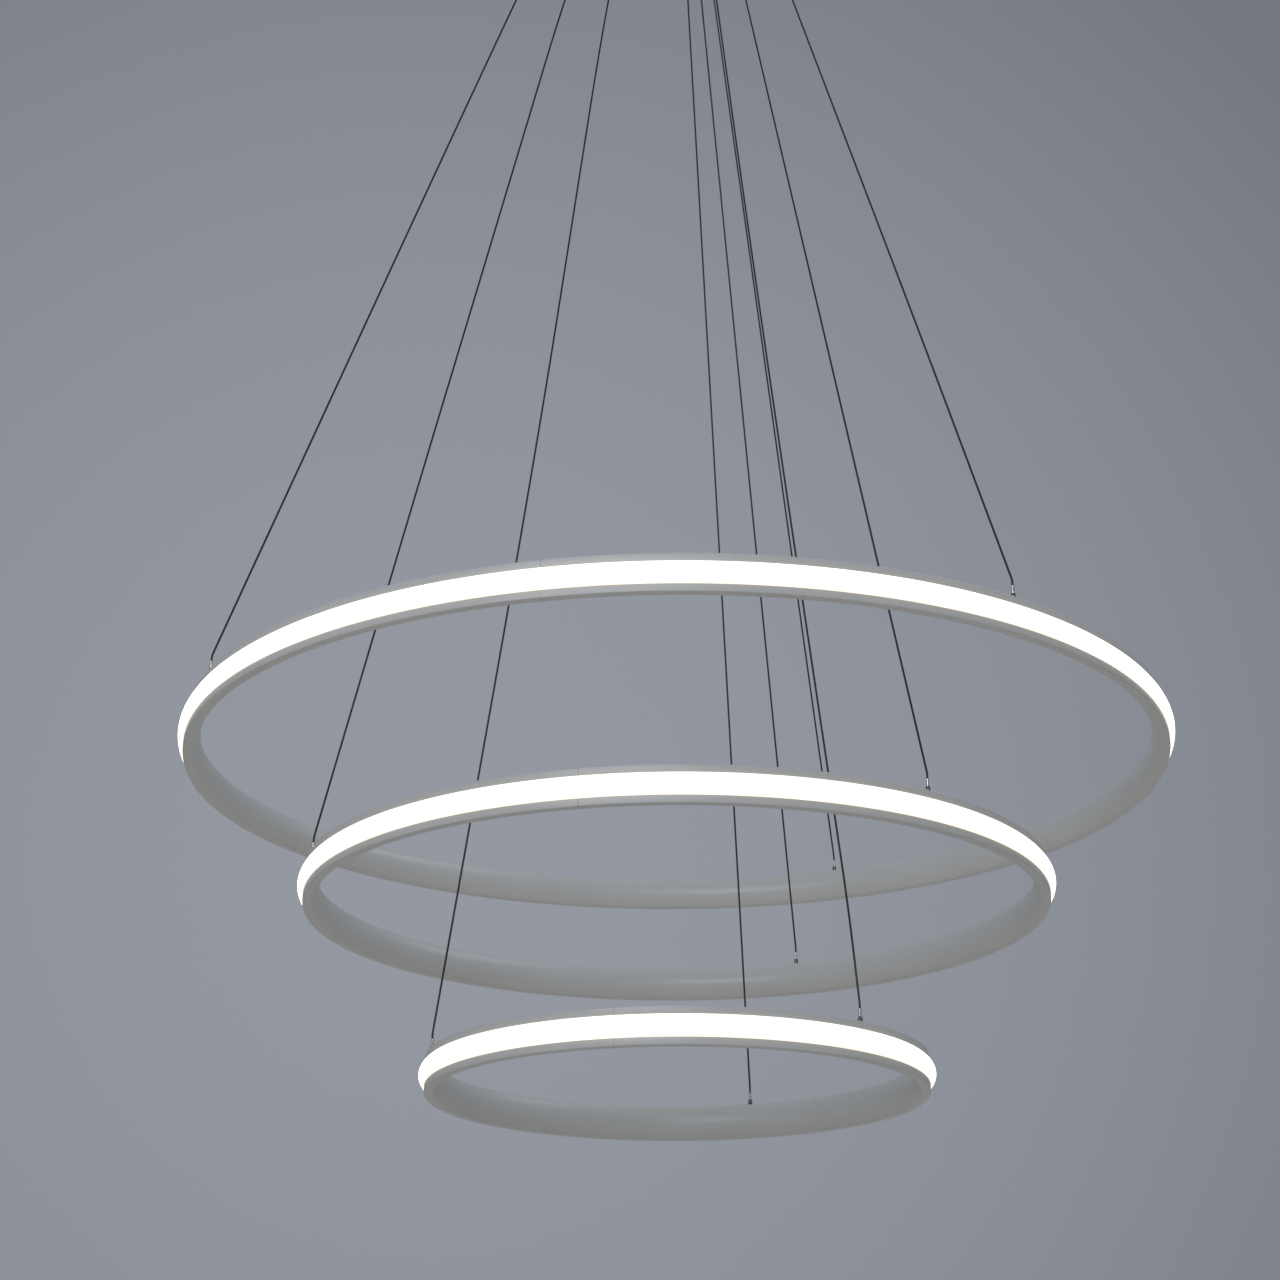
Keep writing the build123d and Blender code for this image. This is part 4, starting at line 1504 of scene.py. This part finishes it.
@dataclass(frozen=True)
class Grippers:
    """The cord grippers that hang through the canopy's floor, and the plungers that free their cords.

    A groove's or a thread's shape is a share of its depth and a run past its start, for each
    corner: a length for the groove, a share of the pitch for the thread.
    """

    suspension: Suspension
    body_radius: float = 5.0 * MM
    body_edge: float = 0.6 * MM
    body_rounding: float = 0.1 * MM
    collar_rounding: float = 0.15 * MM
    body_knurl: Knurl = Knurl(ridges=30, depth=0.22 * MM, span=(2.45 * MM, 8.05 * MM))
    knurled: tuple[float, float] = (2.55 * MM, 8.0 * MM)
    groove_starts: tuple[float, float] = (1.6 * MM, 8.3 * MM)
    groove_depth: float = 0.3 * MM
    groove_shape: tuple[tuple[float, float], ...] = (
        (0.0, 0.0), (1.0, 0.15 * MM), (1.0, 0.55 * MM), (0.0, 0.7 * MM))
    groove_rounding: float = 0.06 * MM
    thread_radius: float = 3.95 * MM
    thread_pitch: float = 1.0 * MM
    thread_depth: float = 0.35 * MM
    thread_shape: tuple[tuple[float, float], ...] = ((0.0, 0.55), (1.0, 0.8), (0.0, 1.05))
    bore: float = 1.05 * MM
    stem_bore: float = 2.05 * MM
    stem_bore_depth: float = 8.0 * MM
    head_radius: float = 2.8 * MM
    head_height: float = 3.5 * MM
    head_knurl: Knurl = Knurl(ridges=24, depth=0.14 * MM, span=(0.85 * MM, 2.75 * MM))
    head_knurled: tuple[float, float] = (0.9 * MM, 2.7 * MM)
    foot_rounding: float = 0.5 * MM
    head_rounding: float = 0.25 * MM
    stem_radius: float = 2.0 * MM
    stem_rounding: float = 0.2 * MM
    plunger_bore: float = 1.0 * MM
    flare: float = 0.4 * MM
    flare_rounding: float = 0.1 * MM

    def build(self, plating: Material) -> None:
        """Makes the nine bodies as one piece, and each plunger by itself.

        Args:
            plating: the finish of them all.
        """
        low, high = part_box("gripper_bodies")
        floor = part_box("canopy_shell")[0].z
        outline = self.body_outline(floor - low.z, high.z - low.z)
        bodies = Skin()
        for cord in self.suspension.cords():
            x, y, _ = cord.exit
            bodies.turn(outline, (x, y, low.z), segments=90, relief=self.body_knurl)
            node = cord.node("release_plunger")
            plunger = Skin()
            plunger.turn(self.plunger_outline(node), cord.exit, segments=72, relief=self.head_knurl)
            stand_in(plunger.finish(f"{node}_turned", plating), node, cord.node("plunger"))
        made = bodies.finish("gripper_bodies_turned", plating)
        stand_in(made, "gripper_bodies", "canopy")

    def body_outline(self, shoulder: float, top: float) -> np.ndarray:
        """Bevelled foot, two turned grooves with the knurl between them, collar, thread and stepped bore.

        Args:
            shoulder: height of the collar's top, that bears on the canopy's floor.
            top: height of the thread's end.

        Returns:
            The closed outline, heights from the foot.
        """
        r, thread, root = self.body_radius, self.thread_radius, self.thread_radius - self.thread_depth
        lower, upper = (
            [(r - share * self.groove_depth, start + run, self.groove_rounding)
             for share, run in self.groove_shape] for start in self.groove_starts)
        rounding = self.body_rounding
        corners = [(self.stem_bore, 0.0, 0.0), (r - self.body_edge, 0.0, rounding),
                   (r, self.body_edge, rounding), *lower, *((r, height, 0.0) for height in self.knurled),
                   *upper, (r, shoulder, self.collar_rounding), (thread, shoulder, 0.0)]
        count = int((top - shoulder) / self.thread_pitch) - 1
        for low in shoulder + np.arange(count) * self.thread_pitch:
            corners += [(thread - share * self.thread_depth, low + run * self.thread_pitch, 0.0)
                        for share, run in self.thread_shape]
        corners += [(thread, top - self.thread_depth, 0.0), (root, top, 0.0), (self.bore, top, rounding),
                    (self.bore, self.stem_bore_depth, 0.0), (self.stem_bore, self.stem_bore_depth, 0.0)]
        return rounded(corners)

    def plunger_outline(self, node: str) -> np.ndarray:
        """Knurled head with a rounded rim, stem, and a bore that flares where the cord leaves it.

        Args:
            node: the plunger's name in the frame.

        Returns:
            The closed outline, as radius and height.
        """
        low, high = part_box(node)
        height = high.z - low.z
        bore, head, stem = self.plunger_bore, self.head_radius, self.stem_radius
        return rounded([
            (bore, self.flare, 0.0), (bore + self.flare, 0.0, self.flare_rounding),
            (head, 0.0, self.foot_rounding), *((head, up, 0.0) for up in self.head_knurled),
            (head, self.head_height, self.head_rounding), (stem, self.head_height, 0.0),
            (stem, height, self.stem_rounding), (bore, height, 0.0)])


@dataclass(frozen=True)
class Canopy:
    """The round canopy: a drawn shell with a rolled lower edge, and its three side screws.

    The head's and the socket's profiles give a share of their radius, a share of the head's
    height and a rounding for each corner.
    """

    suspension: Suspension
    wall: float = 1.2 * MM
    rounding: float = 6.0 * MM
    rim_rounding: float = 0.15 * MM
    edge_steps: int = 9
    floor_hole: float = 4.05 * MM
    side_hole: float = 2.1 * MM
    screw_azimuths: tuple[float, ...] = (10.0, 130.0, 250.0)
    screw_drop: float = 9.0 * MM
    screw_length: float = 9.0 * MM
    shank_radius: float = 2.0 * MM
    point_share: float = 0.75
    point_height: float = 0.6 * MM
    head_radius: float = 3.75 * MM
    head_height: float = 2.2 * MM
    head_profile: tuple[Place, ...] = ((1.0, 0.0, 0.1 * MM), (1.0, 0.4, 0.35 * MM), (0.75, 0.92, 1.0 * MM))
    socket_radius: float = 1.45 * MM
    socket_profile: tuple[Place, ...] = (
        (1.3, 1.0, 0.2 * MM), (1.0, 1.0, 0.0), (1.0, 0.35, 0.0), (0.0, 0.2, 0.0))

    def build(self, paint: Material, plating: Material) -> None:
        """Makes the shell and the screws.

        Args:
            paint: the shell's finish.
            plating: the screws' finish.
        """
        low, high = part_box("canopy_shell")
        shell, screws = Skin(), Skin()
        shell.turn(self.shell_outline(high.x, high.z - low.z), (0.0, 0.0, low.z), segments=256)
        drawn = bored(shell.finish("canopy_shell_drawn", paint), self.drills(high.x, low.z))
        for place, outwards in self.screw_places(high.x):
            screws.turn(self.screw_outline(), place, outwards, segments=48,
                        relief=HexSocket(self.socket_radius, 0.0))
        screwed = screws.finish("canopy_side_screws_turned", plating)
        stand_in(drawn, "canopy_shell", "canopy")
        stand_in(screwed, "canopy_side_screws", "canopy")

    def screw_places(self, radius: float) -> list[tuple[Vector, Vector]]:
        """Where each side screw's head bears on the shell, and the direction outwards there."""
        return [(around(radius, azimuth, -self.screw_drop), around(1.0, azimuth, 0.0))
                for azimuth in self.screw_azimuths]

    def shell_outline(self, radius: float, height: float) -> np.ndarray:
        """Half section of the shell: floor, rolled edge, side and rim, and back inside.

        Args:
            radius: the shell's radius.
            height: the shell's height.

        Returns:
            The closed outline, as radius and height.
        """
        inner, midway = radius - self.wall, 0.5 * radius
        return rounded([
            (0.0, 0.0, 0.0), (midway, 0.0, 0.0), (radius, 0.0, self.rounding),
            (radius, height, self.rim_rounding), (inner, height, self.rim_rounding),
            (inner, self.wall, self.rounding - self.wall), (midway, self.wall, 0.0),
            (0.0, self.wall, 0.0)], steps=self.edge_steps)

    def drills(self, radius: float, floor: float) -> Skin:
        """Cylinders for the grippers' holes in the floor and the screws' holes in the side.

        Args:
            radius: the shell's radius.
            floor: the height of its lower face.

        Returns:
            One cylinder for each hole.
        """
        drills = Skin()
        for cord in self.suspension.cords():
            x, y, _ = cord.exit
            drills.turn(cylinder(self.floor_hole, -self.wall, 2 * self.wall), (x, y, floor))
        for place, outwards in self.screw_places(radius):
            drills.turn(cylinder(self.side_hole, -2 * self.wall, self.wall), place, outwards)
        return drills

    def screw_outline(self) -> np.ndarray:
        """Pointed shank, domed head and the recess in it, heights outwards from the shell.

        Returns:
            The closed outline, as radius and height.
        """
        shank, end = self.shank_radius, -self.screw_length
        corners = [(0.0, end, 0.0), (self.point_share * shank, end, 0.0),
                   (shank, end + self.point_height, 0.0), (shank, 0.0, 0.0)]
        for radius, profile in ((self.head_radius, self.head_profile),
                                (self.socket_radius, self.socket_profile)):
            corners += [(share * radius, up * self.head_height, rounding)
                        for share, up, rounding in profile]
        return rounded(corners)


# ---------------- dressing the frame's own pieces


@dataclass
class Wardrobe:
    """Every finish of the lamp, and which of the frame's pieces wears it.

    The board's wall is its thickness below its parts.  The glow's margin is the height of the
    cover's hooks behind each lip, where no light is seen.
    """

    board_wall: float = 1.6 * MM
    glow_margin: float = 0.9 * MM
    finishes: dict[str, Material] = field(default_factory=dict)

    def stock(self) -> None:
        """Builds the finishes that several pieces share."""
        board_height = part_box("driver_board")[0].z + self.board_wall
        for finish in (
                Coating("silver_paint", (0.40, 0.40, 0.39, 1.0), (0.32, 0.42), skin_scale=1100.0,
                        skin_depth=0.012, tone_spread=0.02, dust=0.25),
                Coating("white_plastic", (0.80, 0.80, 0.78, 1.0), (0.45, 0.60), skin_scale=2500.0,
                        skin_depth=0.03),
                Coating("black_rubber", (0.03, 0.03, 0.03, 1.0), (0.65, 0.80), skin_scale=1800.0,
                        skin_depth=0.05, tone_spread=0.15),
                Coating("lead_jacket", (0.70, 0.70, 0.68, 1.0), (0.35, 0.50), skin_scale=1500.0),
                Metal("bare_aluminium", (0.77, 0.78, 0.79, 1.0), (0.30, 0.45)),
                Metal("dark_steel", (0.10, 0.10, 0.105, 1.0), (0.35, 0.50)),
                Metal("dark_nickel", (0.16, 0.155, 0.155, 1.0), (0.25, 0.40)),
                Metal("bright_nickel", (0.58, 0.56, 0.53, 1.0), (0.16, 0.30), mark_depth=0.002),
                Metal("zinc_steel", (0.60, 0.61, 0.63, 1.0), (0.32, 0.50), along=25.0, across=25.0,
                      tone_spread=0.16, dust=0.3),
                Metal("brass", (0.72, 0.52, 0.24, 1.0), (0.22, 0.38)),
                StrandedCord("coated_cord"),
                CircuitBoard("circuit_board", board_height),
        ):
            self.finishes[finish.name] = finish.build()

    def dress_rings(self) -> None:
        """Builds each ring's glow and its printed tape, which know the ring's middle height."""
        for tier in Tier:
            low, high = tier.box("diffuser")
            middle, half = (low.z + high.z) / 2, (high.z - low.z) / 2
            face = tier.box("led_tape")[1].x
            for finish, part in (
                    (OpalGlow(f"opal_cover_{tier.value}", middle, half - self.glow_margin), "diffuser"),
                    (PrintedTape(f"led_tape_{tier.value}", middle, face), "led_tape")):
                self.finishes[tier.node(part)] = finish.build()
                self.wear(tier.node(part), self.finishes[tier.node(part)])

    def dress_frame(self) -> None:
        """Gives every other piece of the frame the finish of its slot in the record."""
        for part in frame["record"]["subparts"]:
            if part["node"] not in self.finishes:
                self.wear(part["node"], self.finishes[part["material_slot"]])

    def wear(self, node: str, material: Material) -> None:
        """Puts one finish on all of a piece's material slots.

        Args:
            node: the piece's name in the frame.
            material: the finish.
        """
        piece = frame["nodes"][node]
        if not piece.material_slots:
            piece.data.materials.append(material)
        for slot in piece.material_slots:
            slot.material = material
        log.info("%s wears %s", node, material.name)


# ---------------- the whole


def main() -> None:
    """Builds the camera, the cords, the studio and every dressed piece in order."""
    logging.basicConfig(level=logging.INFO, format="%(name)s: %(message)s")
    bpy.context.scene.view_settings.view_transform = "Standard"
    Viewpoint().build()
    wardrobe = Wardrobe()
    wardrobe.stock()
    suspension = Suspension()
    suspension.build(wardrobe.finishes["coated_cord"])
    wardrobe.dress_rings()
    wardrobe.dress_frame()
    paint, plating, base = (
        wardrobe.finishes[slot] for slot in ("silver_paint", "bright_nickel", "dark_nickel"))
    for tier in Tier:
        LedRing(tier).build(paint, wardrobe.finishes[tier.node("diffuser")], suspension)
    CordEnds(suspension).build(base, plating)
    Grippers(suspension).build(plating)
    Canopy(suspension).build(paint, plating)
    Studio().build()


if __name__ == "__main__":
    main()
